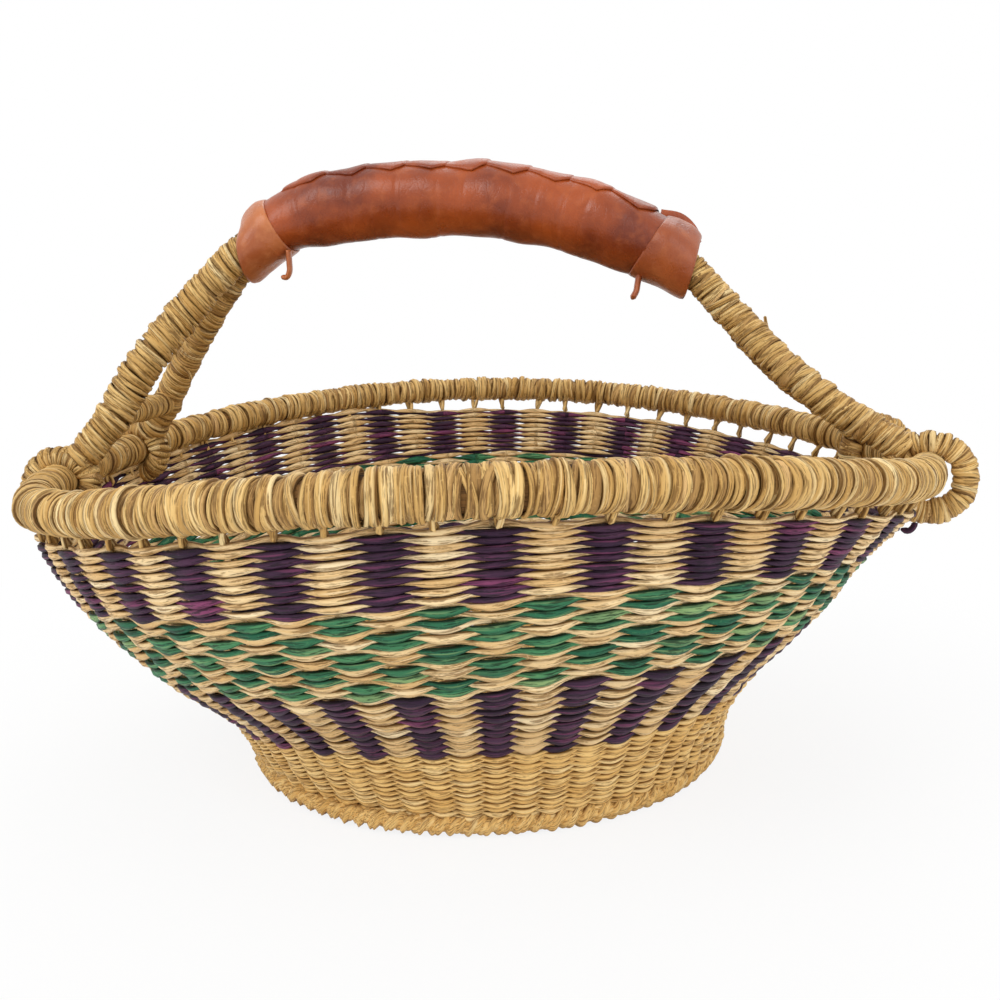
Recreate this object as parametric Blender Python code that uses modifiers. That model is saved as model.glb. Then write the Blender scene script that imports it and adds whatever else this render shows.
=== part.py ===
"""Round woven grass basket on a braided foot.

A forked handle with a leather grip ends in four wrapped loops. They hang round the bound rim and
pass through the open row of stakes below it. Metres, +Z up, with the floor at zero height, the
basket's middle at the origin and the handle along X.
"""

import math

import bmesh
import bpy
import numpy as np
from mathutils import Vector

# The gap between pieces that touch
CLEARANCE = 0.0003

# The rim, a bound tube that dips at two sides, a little round from the handle's ends
RIM_OUTER_RADIUS = 0.1975
RIM_HEIGHT = 0.1525
END_DROP = 0.0262
BACK_DROP = 0.0100
DIP_TURN = math.radians(11.0)
RIM_FRONT_THICKNESS = 0.0174
RIM_END_THICKNESS = 0.0154
RIM_BACK_THICKNESS = 0.0128
RIM_CORE_SHARE = 0.56
RIM_SLOT = 0.0054

# The woven wall and the stakes that carry it. The strands cross between two stakes, so the wall is
# thinner there on both sides, and the base is thinner between its ribs, by this relief
WALL = 0.0045
WEAVE_RELIEF = 0.0009
OPEN_ROW = 0.0130
STAKES = 64
STAKE_THICKNESS = 0.0032

# Rows of the wall: each one's height and radius as shares of the rim's, and the shares of the end
# drop and of an outward pull that it takes at the left and right
ROW_HEIGHT_SHARES = (0.0, 0.066, 0.155, 0.2725, 0.4975, 0.755, 0.9325, 1.0)
ROW_RADIUS_SHARES = (0.540, 0.556, 0.594, 0.641, 0.806, 0.935, 0.971, 1.0)
LEFT_DROP_SHARES = (0.0, 0.0, 0.26, 0.50, 0.88, 1.06, 1.04, 1.0)
RIGHT_DROP_SHARES = (0.0, 0.0, -0.08, -0.14, -0.06, 0.72, 0.90, 1.0)
LEFT_PULL_SHARES = (0.0, 0.0, -0.031, -0.043, -0.047, -0.006, 0.030, 0.004)
RIGHT_PULL_SHARES = (0.0, 0.0, -0.040, -0.008, -0.025, -0.072, 0.030, 0.004)
FOOT_TOP_SHARE = 0.2725
LOWER_TOP_SHARE = 0.4975
CHECKER_TOP_SHARE = 0.755

# The braided foot and the base inside it
BRAID_THICKNESS = 0.0080
BRAID_FLAT = 0.0022
BASE_THICKNESS = 0.0045
BASE_CROWN = 0.0040
BASE_RIBS = 6

# The handle: two canes side by side in the grip, which fork into four legs that end this far
# inside the rim's outside. The front legs stand further out than the back ones by twice the stagger
HANDLE_Y = 0.0182
HANDLE_INSET = 0.0270
HANDLE_HALF_SPAN = RIM_OUTER_RADIUS - HANDLE_INSET
HANDLE_HEIGHT = 0.2462
CANE_THICKNESS = 0.0080
LEG_THICKNESS = 0.0137
LEG_SPREAD = 0.0369
LEG_STAGGER = 0.0035
CROSSBAR_THICKNESS = 0.0105

# The loops round the rim, each between two stakes, and how far they let the handle tilt. Only the
# right front one has much free width past the rim: front and back at the left, then at the right
LOOP_THICKNESS = 0.0104
LOOP_FREE_WIDTHS = (0.0004, 0.0004, 0.0040, 0.0010)
LOOP_STAKES_OFF = (-1, 3)
TILT_DEGREES = 1.5

# The leather grip, whose ends are given along X as shares of the half span
GRIP_THICKNESS = 0.0322
GRIP_END_SHARES = (-0.563, 0.4985)
GRIP_LEFT, GRIP_RIGHT = (share * HANDLE_HALF_SPAN for share in GRIP_END_SHARES)
LEATHER = 0.0018
END_INSET = 0.003
COLLAR_LENGTH = 0.024
LACE_THICKNESS = 0.0016
LACE_CROSSINGS = 20
LACE_HALF_WIDTH = 0.0040
TAB_LENGTH = 0.0085
TAB_WIDTH = 0.0070
TAB_THICKNESS = 0.0015
BACK_TAB_TURN = math.radians(135.0)

# Half the sleeve's height towards its ends, as shares of the grip's radius, where the places are
# counted outwards from the sleeve's end in shares of half a collar
GRIP_RISE_PLACES = (-3.0, -2.0, -1.0, 0.0, 1.0)
GRIP_RISE_SHARES = (1.0, 0.91, 0.80, 0.71, 0.57)

# The arch of the handle, from the left loops to the right: places along X as shares of the half
# span, heights above the hinge as shares of the arch, and half the gap between the two canes as
# shares of the legs' spread
ARCH_X_SHARES = (-1.0, -0.878, -0.751, -0.622, -0.536, -0.422, -0.260, -0.100,
                 0.057, 0.213, 0.368, 0.521, 0.660, 0.771, 0.890, 1.0)
ARCH_HEIGHT_SHARES = (0.140, 0.399, 0.634, 0.838, 0.928, 0.978, 0.997, 1.0,
                      0.982, 0.936, 0.866, 0.756, 0.552, 0.384, 0.243, 0.147)
ARCH_SPREAD_SHARES = (0.86, 0.60, 0.33, 0.200, 0.190, 0.190, 0.190, 0.190,
                      0.190, 0.190, 0.190, 0.190, 0.30, 0.55, 0.76, 0.90)
LEG_START_SHARE = 0.02
CANE_START_SHARE = 0.06
SEAT_SHARE = 0.35

# Counts of facets
WALL_RINGS = 2
BASE_STEPS = 32
BRAID_SIDES = 8
LOOP_POINTS = 20
ARCH_POINTS = 41
TUBE_SIDES = 8
RIM_OUTER_SIDES = 9
RIM_INNER_SIDES = 6
CROWD_SHARE = 0.6

STRAW = (0.60, 0.39, 0.16)
NATURAL = (0.78, 0.52, 0.24)
PURPLE = (0.08, 0.04, 0.10)
GREEN = (0.02, 0.16, 0.09)
TAN = (0.36, 0.09, 0.03)
COLLAR_TAN = (0.46, 0.14, 0.05)

WELD = 0.00001
PROBE = 0.01
LEFT, RIGHT = -1, 1
FRONT, BACK = -1, 1
UP = Vector((0.0, 0.0, 1.0))
ACROSS = Vector((0.0, 1.0, 0.0))


def finish(name, colour, roughness):
    """A plain finish of one colour."""
    material = bpy.data.materials.new(name)
    material.use_nodes = True
    shader = material.node_tree.nodes["Principled BSDF"]
    shader.inputs["Base Color"].default_value = (*colour, 1.0)
    shader.inputs["Roughness"].default_value = roughness
    shader.inputs["Metallic"].default_value = 0.0
    return material


def fresh_scene():
    """An empty scene with one collection for the parts and one for the cutters."""
    for old in list(bpy.data.objects):
        bpy.data.objects.remove(old)
    groups = []
    for name in ("bolga_basket", "cutters"):
        group = bpy.data.collections.new(name)
        bpy.context.scene.collection.children.link(group)
        groups.append(group)
    return groups


def place(group, name, data, material=None, parent=None):
    """A new object in a collection. Its shape stays where it is when it has a parent."""
    thing = bpy.data.objects.new(name, data)
    group.objects.link(thing)
    if material is not None:
        data.materials.append(material)
    if parent is not None:
        thing.parent = parent
        thing.matrix_parent_inverse = parent.matrix_world.inverted()
    return thing


def hide_cutter(thing):
    """Marks a guide or cutter, which isn't a piece of the basket."""
    thing.hide_render = True
    thing.display_type = "WIRE"
    return thing


def close_ends(thing):
    """Fills the open ends of a tube."""
    shape = bmesh.new()
    shape.from_mesh(thing.data)
    bmesh.ops.holes_fill(shape, edges=shape.edges)
    shape.to_mesh(thing.data)
    shape.free()


def round_off(thing, degrees=50.0):
    """Smooth shading, with sharp edges where the faces turn more."""
    thing.data.shade_smooth()
    thing.data.set_sharp_from_angle(angle=math.radians(degrees))
    return thing


def as_mesh(thing):
    """The same object as a mesh, with its caps welded on."""
    bpy.context.view_layer.update()
    seen = thing.evaluated_get(bpy.context.evaluated_depsgraph_get())
    mesh = bpy.data.meshes.new_from_object(seen)
    shape = bmesh.new()
    shape.from_mesh(mesh)
    bmesh.ops.remove_doubles(shape, verts=shape.verts, dist=WELD)
    shape.to_mesh(mesh)
    shape.free()
    name, group, parent = thing.name, thing.users_collection[0], thing.parent
    place_in_world = thing.matrix_world.copy()
    bpy.data.objects.remove(thing)
    made = place(group, name, mesh, parent=parent)
    made.matrix_world = place_in_world
    return made


def tube(group, name, points, thickness, material=None, parent=None,
         closed=False, swells=None, caps=True, sides=TUBE_SIDES, twist="Z_UP"):
    """A round tube along points, as a curve with a bevel. Swells widen or narrow it."""
    curve = bpy.data.curves.new(name, "CURVE")
    curve.dimensions = "3D"
    curve.bevel_depth = thickness / 2
    curve.bevel_resolution = sides // 2 - 2
    curve.use_fill_caps = caps and not closed
    curve.twist_mode = twist
    spline = curve.splines.new("POLY")
    spline.points.add(len(points) - 1)
    for index, point in enumerate(points):
        spline.points[index].co = (*point, 1.0)
        spline.points[index].radius = 1.0 if swells is None else swells[index]
    spline.use_cyclic_u = closed
    return place(group, name, curve, material, parent)


def hollow(thing, wall):
    """Turns an open tube into a pipe. Its wall, measured at the tube's corners, grows inwards."""
    shell = thing.modifiers.new("wall", "SOLIDIFY")
    shell.thickness = wall * math.cos(math.pi / TUBE_SIDES)
    shell.offset = -1.0
    shell.use_even_offset = True


def combine(thing, other, operation, name):
    """Cuts a hidden solid out of a piece, or joins it on."""
    hide_cutter(other)
    step = thing.modifiers.new(name, "BOOLEAN")
    step.operation = operation
    step.object = other
    step.solver = "EXACT"


def turned(group, name, outline, material, closed, steps):
    """A turned solid from an outline of radius and height that runs down its outer side."""
    mesh = bpy.data.meshes.new(name)
    count = len(outline)
    edges = [(index, index + 1) for index in range(count - 1)]
    if closed:
        edges.append((count - 1, 0))
    mesh.from_pydata([(radius, 0.0, height) for radius, height in outline], edges, [])
    solid = place(group, name, mesh, material)
    sweep = solid.modifiers.new("turn", "SCREW")
    sweep.steps = steps
    sweep.render_steps = steps
    sweep.use_merge_vertices = True
    sweep.merge_threshold = WELD
    return solid


def smooth_through(places, values, at):
    """A smooth curve through hand placed points: cubic pieces with central slopes."""
    places, values = np.asarray(places, float), np.asarray(values, float)
    slopes = np.gradient(values, places)
    left = np.clip(np.searchsorted(places, at, side="right") - 1, 0, len(places) - 2)
    width = places[left + 1] - places[left]
    t = (np.asarray(at, float) - places[left]) / width
    return (
        (2 * t**3 - 3 * t**2 + 1) * values[left]
        + (t**3 - 2 * t**2 + t) * width * slopes[left]
        + (3 * t**2 - 2 * t**3) * values[left + 1]
        + (t**3 - t**2) * width * slopes[left + 1]
    )


def stake_angle(index):
    """Stakes stand half a step off the X axis, so a loop fits between two of them."""
    return (index + 0.5) * math.tau / STAKES


def rim_radius(angle):
    """Half the rim tube's thickness at an angle round the basket."""
    side = math.sin(angle)
    far = RIM_FRONT_THICKNESS if side < 0 else RIM_BACK_THICKNESS
    return (RIM_END_THICKNESS + (far - RIM_END_THICKNESS) * side**2) / 2


def wall_point(height_share, angle):
    """A point of the wall's middle surface, at a share of the height and an angle.

    The wall is a turned bowl whose rows drop and pull outwards at two sides, by the square of
    the cosine, and drop a little at the back.
    """
    across, side = math.cos(angle - DIP_TURN), math.sin(angle - DIP_TURN)
    drops, pulls = RIGHT_DROP_SHARES, RIGHT_PULL_SHARES
    if across < 0:
        drops, pulls = LEFT_DROP_SHARES, LEFT_PULL_SHARES

    def row(values):
        return float(smooth_through(ROW_HEIGHT_SHARES, values, height_share))

    inset = RIM_END_THICKNESS / 2
    inset += (rim_radius(angle) - inset) * height_share
    reach = RIM_OUTER_RADIUS - inset
    radius = reach * row(ROW_RADIUS_SHARES) * (1 + row(pulls) * across**2)
    height = RIM_HEIGHT * height_share - END_DROP * row(drops) * across**2
    height -= BACK_DROP * height_share * max(0.0, side) ** 2
    return Vector((radius * math.cos(angle), radius * math.sin(angle), height))


def rim_point(angle):
    """The middle of the rim tube."""
    return wall_point(1.0, angle)


def open_row_share(angle):
    """The height share at which the weave ends, one open row below the rim."""
    last = ROW_HEIGHT_SHARES[-2]
    length = (rim_point(angle) - wall_point(last, angle)).length
    return 1.0 - (1.0 - last) * OPEN_ROW / length


def wall_lean(share):
    """The angle between the front wall and the upright just above this height share."""
    low, high = (wall_point(way * share, FRONT * math.pi / 2) for way in (1, 2))
    return math.atan((high - low).xy.length / (high - low).z)


def braid_middle_height():
    """The height of the braid's middle over the floor, which its underside is pressed flat to."""
    return math.sqrt(BRAID_THICKNESS**2 - BRAID_FLAT**2) / 2


def weave_start():
    """The height share at which the weave starts, seated on the round of the braid."""
    half = WALL / 2
    lean = wall_lean(BRAID_THICKNESS / RIM_HEIGHT)
    reach = BRAID_THICKNESS / 2 + 2 * CLEARANCE
    rise = half * math.sin(lean) + math.sqrt(reach**2 - (half * math.cos(lean))**2)
    return (braid_middle_height() + rise) / RIM_HEIGHT


def wall_normal(height_share, angle):
    """The way straight out of the wall at a point of its middle surface."""
    round_way = wall_point(height_share, angle + PROBE) - wall_point(height_share, angle - PROBE)
    up_way = wall_point(height_share + PROBE, angle) - wall_point(height_share - PROBE, angle)
    return round_way.cross(up_way).normalized()


def wall_band(group, name, bottom, top, material, columns=2):
    """A ring of the woven wall, bent from a flat grid whose rows go round its section.

    Bottom and top give the height share at an angle. The grid has this many columns for each
    stake: with two, the one between two stakes is a flute.
    """
    levels = [index / WALL_RINGS for index in range(WALL_RINGS + 1)]
    section = [(level, 1) for level in levels] + [(level, -1) for level in reversed(levels)]
    section.append(section[0])
    shape = bmesh.new()
    bmesh.ops.create_grid(shape, x_segments=columns * STAKES, y_segments=len(section) - 1,
                          size=0.5)
    for corner in shape.verts:
        angle = stake_angle(corner.co.x * STAKES)
        level, side = section[round((corner.co.y + 0.5) * (len(section) - 1))]
        share = bottom(angle) + (top(angle) - bottom(angle)) * level
        flute = round(corner.co.x * columns * STAKES) % columns * WEAVE_RELIEF
        out = wall_normal(share, angle) * (side * (WALL / 2 - flute))
        corner.co = wall_point(share, angle) + out
    bmesh.ops.remove_doubles(shape, verts=shape.verts, dist=WELD)
    mesh = bpy.data.meshes.new(name)
    shape.to_mesh(mesh)
    shape.free()
    return round_off(place(group, name, mesh, material))


def woven_wall(group, cutters, natural, purple, green):
    """The four bands of the wall, from the foot, whose stakes are too close for flutes, up."""
    gap = CLEARANCE / RIM_HEIGHT / 2

    def at(share):
        return lambda angle: share

    wall_band(group, "foot_weave", at(weave_start()), at(FOOT_TOP_SHARE - gap), natural,
              columns=1)
    wall_band(group, "lower_stripe_band", at(FOOT_TOP_SHARE + gap),
              at(LOWER_TOP_SHARE - gap), purple)
    wall_band(group, "checker_band", at(LOWER_TOP_SHARE + gap),
              at(CHECKER_TOP_SHARE - gap), green)
    upper = wall_band(group, "upper_stripe_band", at(CHECKER_TOP_SHARE + gap),
                      open_row_share, purple)
    for side in (LEFT, RIGHT):
        for which in (FRONT, BACK):
            combine(upper, notch(cutters, side, which), "DIFFERENCE", "notch")


def foot_braid(group, material):
    """The braided ring that the basket stands on, with a flat underside."""
    middle = wall_point(weave_start(), 0.0).x
    low = braid_middle_height()
    radius = BRAID_THICKNESS / 2
    squeeze = math.asin(BRAID_FLAT / BRAID_THICKNESS)
    outline = []
    for index in range(BRAID_SIDES):
        turn = squeeze + index * (math.tau - 2 * squeeze) / (BRAID_SIDES - 1)
        outline.append((middle - radius * math.sin(turn), low - radius * math.cos(turn)))
    return turned(group, "foot_braid", outline, material, closed=True, steps=STAKES)


def base_weave(group, material):
    """The woven disc inside the foot, ribbed in rings and a little higher in the middle."""
    low = BRAID_THICKNESS + CLEARANCE
    share = low / RIM_HEIGHT
    inner = [wall_point(share, stake_angle(i)).xy.length for i in range(STAKES)]
    edge = min(inner) - WALL / 2 / math.cos(wall_lean(share)) - CLEARANCE
    top, bottom = [], []
    for index in range(2 * BASE_RIBS + 1):
        out = index / (2 * BASE_RIBS)
        groove = index % 2 * WEAVE_RELIEF
        height = low + BASE_CROWN * (1 - out**2)
        top.append((edge * out, height + BASE_THICKNESS - groove))
        bottom.append((edge * out, height + groove))
    return turned(group, "base_weave", top + bottom[::-1], material, closed=False,
                  steps=BASE_STEPS)


def rim_swells():
    """The rim tube's thickness at each stake, as a share of its thickest place."""
    return [2 * rim_radius(stake_angle(i)) / RIM_FRONT_THICKNESS for i in range(STAKES)]


def stakes(group, cutters, material):
    """The stakes of the open row and the core of stalks that they bend into at the rim."""
    angles = [stake_angle(index) for index in range(STAKES)]
    core = as_mesh(tube(group, "stakes", [rim_point(angle) for angle in angles],
                        RIM_FRONT_THICKNESS * RIM_CORE_SHARE, material, closed=True,
                        swells=rim_swells(), sides=6))
    curve = bpy.data.curves.new("posts", "CURVE")
    curve.dimensions = "3D"
    curve.bevel_depth = STAKE_THICKNESS / 2
    curve.bevel_resolution = 0
    curve.use_fill_caps = True
    for angle in angles:
        head = rim_point(angle)
        knee = head - UP * (rim_radius(angle) + CLEARANCE)
        foot = wall_point(open_row_share(angle), angle)
        foot = foot + (knee - foot).normalized() * (STAKE_THICKNESS / 2 + 2 * CLEARANCE)
        spline = curve.splines.new("POLY")
        spline.points.add(2)
        for point, place_on_stake in zip(spline.points, (foot, knee, head)):
            point.co = (*place_on_stake, 1.0)
    combine(core, as_mesh(place(cutters, "posts", curve)), "UNION", "posts")
    return round_off(core)


def rim_binding(group, cutters, material):
    """The grass binding wound round the core, with a slot below for the stakes."""
    fullest = RIM_FRONT_THICKNESS / RIM_BACK_THICKNESS
    outer = RIM_FRONT_THICKNESS / 2
    core = outer * RIM_CORE_SHARE + CLEARANCE * fullest
    inner = core / math.cos(math.pi / RIM_INNER_SIDES)
    outline = []
    for radius, count, way in ((outer, RIM_OUTER_SIDES + 1, 1), (inner, RIM_INNER_SIDES, -1)):
        gap = math.asin(RIM_SLOT / 2 * fullest / radius)
        turns = [gap + index * (math.tau - 2 * gap) / (count - 1) for index in range(count)]
        outline += [(radius * math.sin(turn), -radius * math.cos(turn)) for turn in turns][::way]
    section = bpy.data.curves.new("rim_section", "CURVE")
    section.dimensions = "2D"
    spline = section.splines.new("POLY")
    spline.points.add(len(outline) - 1)
    for index, (x, y) in enumerate(reversed(outline)):
        spline.points[index].co = (x, y, 0.0, 1.0)
    spline.use_cyclic_u = True
    guide = hide_cutter(place(cutters, "rim_section", section))
    line = [rim_point(stake_angle(index)) for index in range(STAKES)]
    binding = tube(group, "rim_binding", line, RIM_FRONT_THICKNESS, material, closed=True,
                   swells=rim_swells())
    binding.data.bevel_mode = "OBJECT"
    binding.data.bevel_object = guide
    return round_off(as_mesh(binding))


def loop_angle(side, which):
    """The angle of a loop round the basket, halfway between two stakes."""
    off = LOOP_STAKES_OFF[0 if which == FRONT else 1] * math.tau / STAKES
    return off if side == RIGHT else math.pi - off


def hinge_height():
    """The rim's height at the handle's ends, where the loops hang."""
    return rim_point(0.0).z


def loop_seat(angle):
    """The middle of the rim where a loop holds it, halfway between two stakes."""
    half_step = math.pi / STAKES
    return (rim_point(angle - half_step) + rim_point(angle + half_step)) / 2


def loop_play():
    """How far a loop rises or falls against the rim at the handle's furthest tilt."""
    tilt = math.sin(math.radians(TILT_DEGREES))
    return (LEG_SPREAD + LOOP_THICKNESS / 2) * tilt + CLEARANCE


def loop_free_width(side, which):
    """How much wider than the rim a loop is."""
    return LOOP_FREE_WIDTHS[(0 if side == LEFT else 2) + (0 if which == FRONT else 1)]


def loop_line(side, which):
    """The middle line of a loop round the rim: two half ellipses joined by short straights."""
    angle = loop_angle(side, which)
    spare = loop_free_width(side, which) / 2
    out = Vector((math.cos(angle), math.sin(angle), 0.0))
    tight = rim_radius(angle) + CLEARANCE + LOOP_THICKNESS / 2
    tight /= math.cos(math.pi / LOOP_POINTS)
    middle = loop_seat(angle) + out * spare
    line = []
    for index in range(LOOP_POINTS):
        turn = (index + 0.5) * math.tau / LOOP_POINTS
        lift = math.copysign(loop_play(), math.sin(turn))
        line.append(middle + out * ((tight + spare) * math.cos(turn))
                    + UP * (tight * math.sin(turn) + lift))
    return line


def rim_loop(group, name, side, which, material, parent):
    """One wrapped loop of the handle, hung round the rim."""
    return tube(group, name, loop_line(side, which), LOOP_THICKNESS, material, parent,
                closed=True, twist="MINIMUM")


def notch(cutters, side, which):
    """The cutter that opens the wall where a loop passes through it below the rim."""
    angle = loop_angle(side, which)
    tilt = math.sin(math.radians(TILT_DEGREES))
    lowest = min(point.z for point in loop_line(side, which)) - LOOP_THICKNESS / 2
    top = loop_seat(angle)
    depth = top.z - lowest + loop_play() + CLEARANCE
    width = LOOP_THICKNESS + 2 * depth * tilt + 2 * CLEARANCE
    length = 2 * (rim_radius(angle) + loop_free_width(side, which) + LOOP_THICKNESS)
    shape = bmesh.new()
    bmesh.ops.create_cube(shape, size=1.0)
    for corner in shape.verts:
        corner.co.x *= length
        corner.co.y *= width
        corner.co.z = (corner.co.z - 0.5) * depth
    mesh = bpy.data.meshes.new("notch")
    shape.to_mesh(mesh)
    shape.free()
    box = hide_cutter(place(cutters, "notch", mesh))
    box.location = top
    box.rotation_euler = (0.0, 0.0, angle)
    return box


def arch_points(which, shares):
    """Points on the arch: which is FRONT or BACK for a cane, or 0 for the middle of the grip."""
    knots = np.linspace(0.0, 1.0, len(ARCH_X_SHARES))
    rise = HANDLE_HEIGHT - hinge_height()
    spread = smooth_through(knots, ARCH_SPREAD_SHARES, shares)
    x = HANDLE_HALF_SPAN * smooth_through(knots, ARCH_X_SHARES, shares)
    x -= np.sign(x) * which * LEG_STAGGER * (spread - min(ARCH_SPREAD_SHARES))
    y = HANDLE_Y + which * LEG_SPREAD * spread
    z = hinge_height() + rise * smooth_through(knots, ARCH_HEIGHT_SHARES, shares)
    return [Vector(point) for point in np.stack([x, y, z], axis=1)]


def arch_share(x):
    """Where along the arch the handle reaches this place on X."""
    shares = np.linspace(0.0, 1.0, ARCH_POINTS**2)
    return float(np.interp(x, [point.x for point in arch_points(0, shares)], shares))


def arch_joints():
    """The shares at which the handle's pieces end, which all of them share as corners."""
    ends = [LEG_START_SHARE, CANE_START_SHARE, 1 - CANE_START_SHARE, 1 - LEG_START_SHARE]
    for edge, inwards in ((GRIP_LEFT, 1), (GRIP_RIGHT, -1)):
        ends += [arch_share(edge + way * COLLAR_LENGTH / 2) for way in (-1, 0, 1)]
        ends += [arch_share(edge + way * inwards * END_INSET) for way in (-1, 1)]
    return ends


def arch_line(which, start, end):
    """The arch's points from one joint to another, spread evenly between the joints."""
    joints = arch_joints()
    crowd = CROWD_SHARE / ARCH_POINTS
    spread = [share for share in np.linspace(0.0, 1.0, ARCH_POINTS)
              if min(abs(share - joint) for joint in joints) > crowd]
    return arch_points(which, [share for share in sorted(joints + spread)
                               if start <= share <= end])


def leg_line(side, which):
    """The middle line of a leg: from its loop up to the grip."""
    seat = loop_line(side, which)[round(SEAT_SHARE * LOOP_POINTS)]
    if side == LEFT:
        return [seat] + arch_line(which, LEG_START_SHARE, arch_share(GRIP_LEFT - END_INSET))
    return arch_line(which, arch_share(GRIP_RIGHT + END_INSET), 1 - LEG_START_SHARE) + [seat]


def cane_line(which):
    """The middle line of a cane, which ends a little above the loops."""
    return arch_line(which, CANE_START_SHARE, 1 - CANE_START_SHARE)


def grip_line(inset):
    """The middle line of the grip, which ends this far inside the sleeve's ends."""
    return arch_line(0, arch_share(GRIP_LEFT + inset), arch_share(GRIP_RIGHT - inset))


def grip_rise(x):
    """Half the sleeve's height at a place along X: it is drawn in flatter towards its ends."""
    past = max(GRIP_LEFT - x, x - GRIP_RIGHT) / (COLLAR_LENGTH / 2)
    return GRIP_THICKNESS / 2 * float(np.interp(past, GRIP_RISE_PLACES, GRIP_RISE_SHARES))


def flatten(thing, line, thickness, extra):
    """Presses a tube's rings flatter, to the sleeve's height there and an extra height."""
    for index, corner in enumerate(thing.data.vertices):
        middle = line[index // TUBE_SIDES]
        up = on_grip(middle.x)[2]
        share = (grip_rise(middle.x) + extra) / (thickness / 2)
        corner.co -= up * ((corner.co - middle).dot(up) * (1 - share))
    return thing


def cane(group, name, which, material, parent):
    """One of the two canes that run from loop to loop through the grip."""
    return tube(group, name, cane_line(which), CANE_THICKNESS, material, parent)


def leg(group, cutters, name, side, which, material, parent):
    """The wrapping of one leg round its cane, seated on the loop below."""
    pipe = as_mesh(tube(group, name, leg_line(side, which), LEG_THICKNESS, material, parent,
                        caps=False))
    hollow(pipe, (LEG_THICKNESS - CANE_THICKNESS) / 2 - CLEARANCE)
    seat = as_mesh(tube(cutters, name + "_seat", loop_line(side, which),
                        LOOP_THICKNESS + 2 * CLEARANCE, closed=True, twist="MINIMUM"))
    combine(pipe, seat, "DIFFERENCE", "seat")
    return round_off(pipe)


def crossbar(group, cutters, name, side, material, parent):
    """The short wrapped bar between the two legs of one end, just above their loops."""
    ends = [leg_line(side, which)[1 if side == LEFT else -2] for which in (FRONT, BACK)]
    bar = as_mesh(tube(group, name, ends, CROSSBAR_THICKNESS, material, parent))
    for which in (FRONT, BACK):
        room = as_mesh(tube(cutters, name + "_leg", leg_line(side, which),
                            LEG_THICKNESS + 2 * CLEARANCE))
        combine(bar, room, "DIFFERENCE", "leg")
    return round_off(bar)


def grip_core(group, cutters, material, parent):
    """The bundle of stalks that fills the grip round the two canes."""
    inset = LEATHER + CLEARANCE
    thickness = GRIP_THICKNESS - 2 * inset
    line = grip_line(END_INSET)
    core = as_mesh(tube(group, "grip_core", line, thickness, material, parent, caps=False))
    flatten(core, line, thickness, -inset)
    close_ends(core)
    for which in (FRONT, BACK):
        bore = as_mesh(tube(cutters, "bore", cane_line(which), CANE_THICKNESS + 2 * CLEARANCE))
        combine(core, bore, "DIFFERENCE", "bore")
    return round_off(core)


def grip_sleeve(group, material, parent):
    """The leather sleeve laced round the grip."""
    line = grip_line(0.0)
    sleeve = as_mesh(tube(group, "grip_sleeve", line, GRIP_THICKNESS, material, parent,
                          caps=False))
    flatten(sleeve, line, GRIP_THICKNESS, 0.0)
    hollow(sleeve, LEATHER)
    return round_off(sleeve)


def collar(group, name, side, material, parent):
    """The leather collar over one end of the sleeve, drawn in round the two legs."""
    edge = GRIP_LEFT if side == LEFT else GRIP_RIGHT
    half = COLLAR_LENGTH / 2
    skin = LEATHER + 2 * CLEARANCE
    thickness = GRIP_THICKNESS + 2 * skin
    line = arch_line(0, arch_share(edge - half), arch_share(edge + half))
    shell = as_mesh(tube(group, name, line, thickness, material, parent, caps=False))
    flatten(shell, line, thickness, skin)
    hollow(shell, LEATHER)
    return round_off(shell)


def on_grip(x):
    """A point of the grip's middle line, and the ways along it and up from it."""
    share = arch_share(x)
    step = 1 / ARCH_POINTS
    behind, middle, ahead = arch_points(0, [share - step, share, share + step])
    along = (ahead - behind).normalized()
    return middle, along, along.cross(ACROSS)


def lacing(group, material, parent):
    """The lace that closes the sleeve, crossing its top seam from side to side."""
    inset = COLLAR_LENGTH / 2 + LACE_THICKNESS
    points = []
    for index, x in enumerate(np.linspace(GRIP_LEFT + inset, GRIP_RIGHT - inset,
                                          LACE_CROSSINGS + 1)):
        middle, along, up = on_grip(float(x))
        rise = grip_rise(x) + LACE_THICKNESS / 2 + CLEARANCE
        points.append(middle + up * rise + ACROSS * (LACE_HALF_WIDTH * (-1)**index))
    return tube(group, "grip_lacing", points, LACE_THICKNESS, material, parent, sides=6)


def tab(group, name, x, turn, material, parent):
    """A small leather tab that stands off a collar. Turn is its angle from straight down."""
    middle, along, up = on_grip(x)
    skin = LEATHER + 3 * CLEARANCE
    out = ACROSS * math.sin(turn) - up * math.cos(turn)
    side = out.cross(along)
    start = (middle + ACROSS * ((GRIP_THICKNESS / 2 + skin) * math.sin(turn))
             - up * ((grip_rise(x) + skin) * math.cos(turn)))
    shape = bmesh.new()
    bmesh.ops.create_cube(shape, size=1.0)
    for corner in shape.verts:
        corner.co = (start + along * (corner.co.x * TAB_THICKNESS)
                     + side * (corner.co.y * TAB_WIDTH)
                     + out * ((corner.co.z + 0.5) * TAB_LENGTH))
    mesh = bpy.data.meshes.new(name)
    shape.to_mesh(mesh)
    shape.free()
    return place(group, name, mesh, material, parent)


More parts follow.
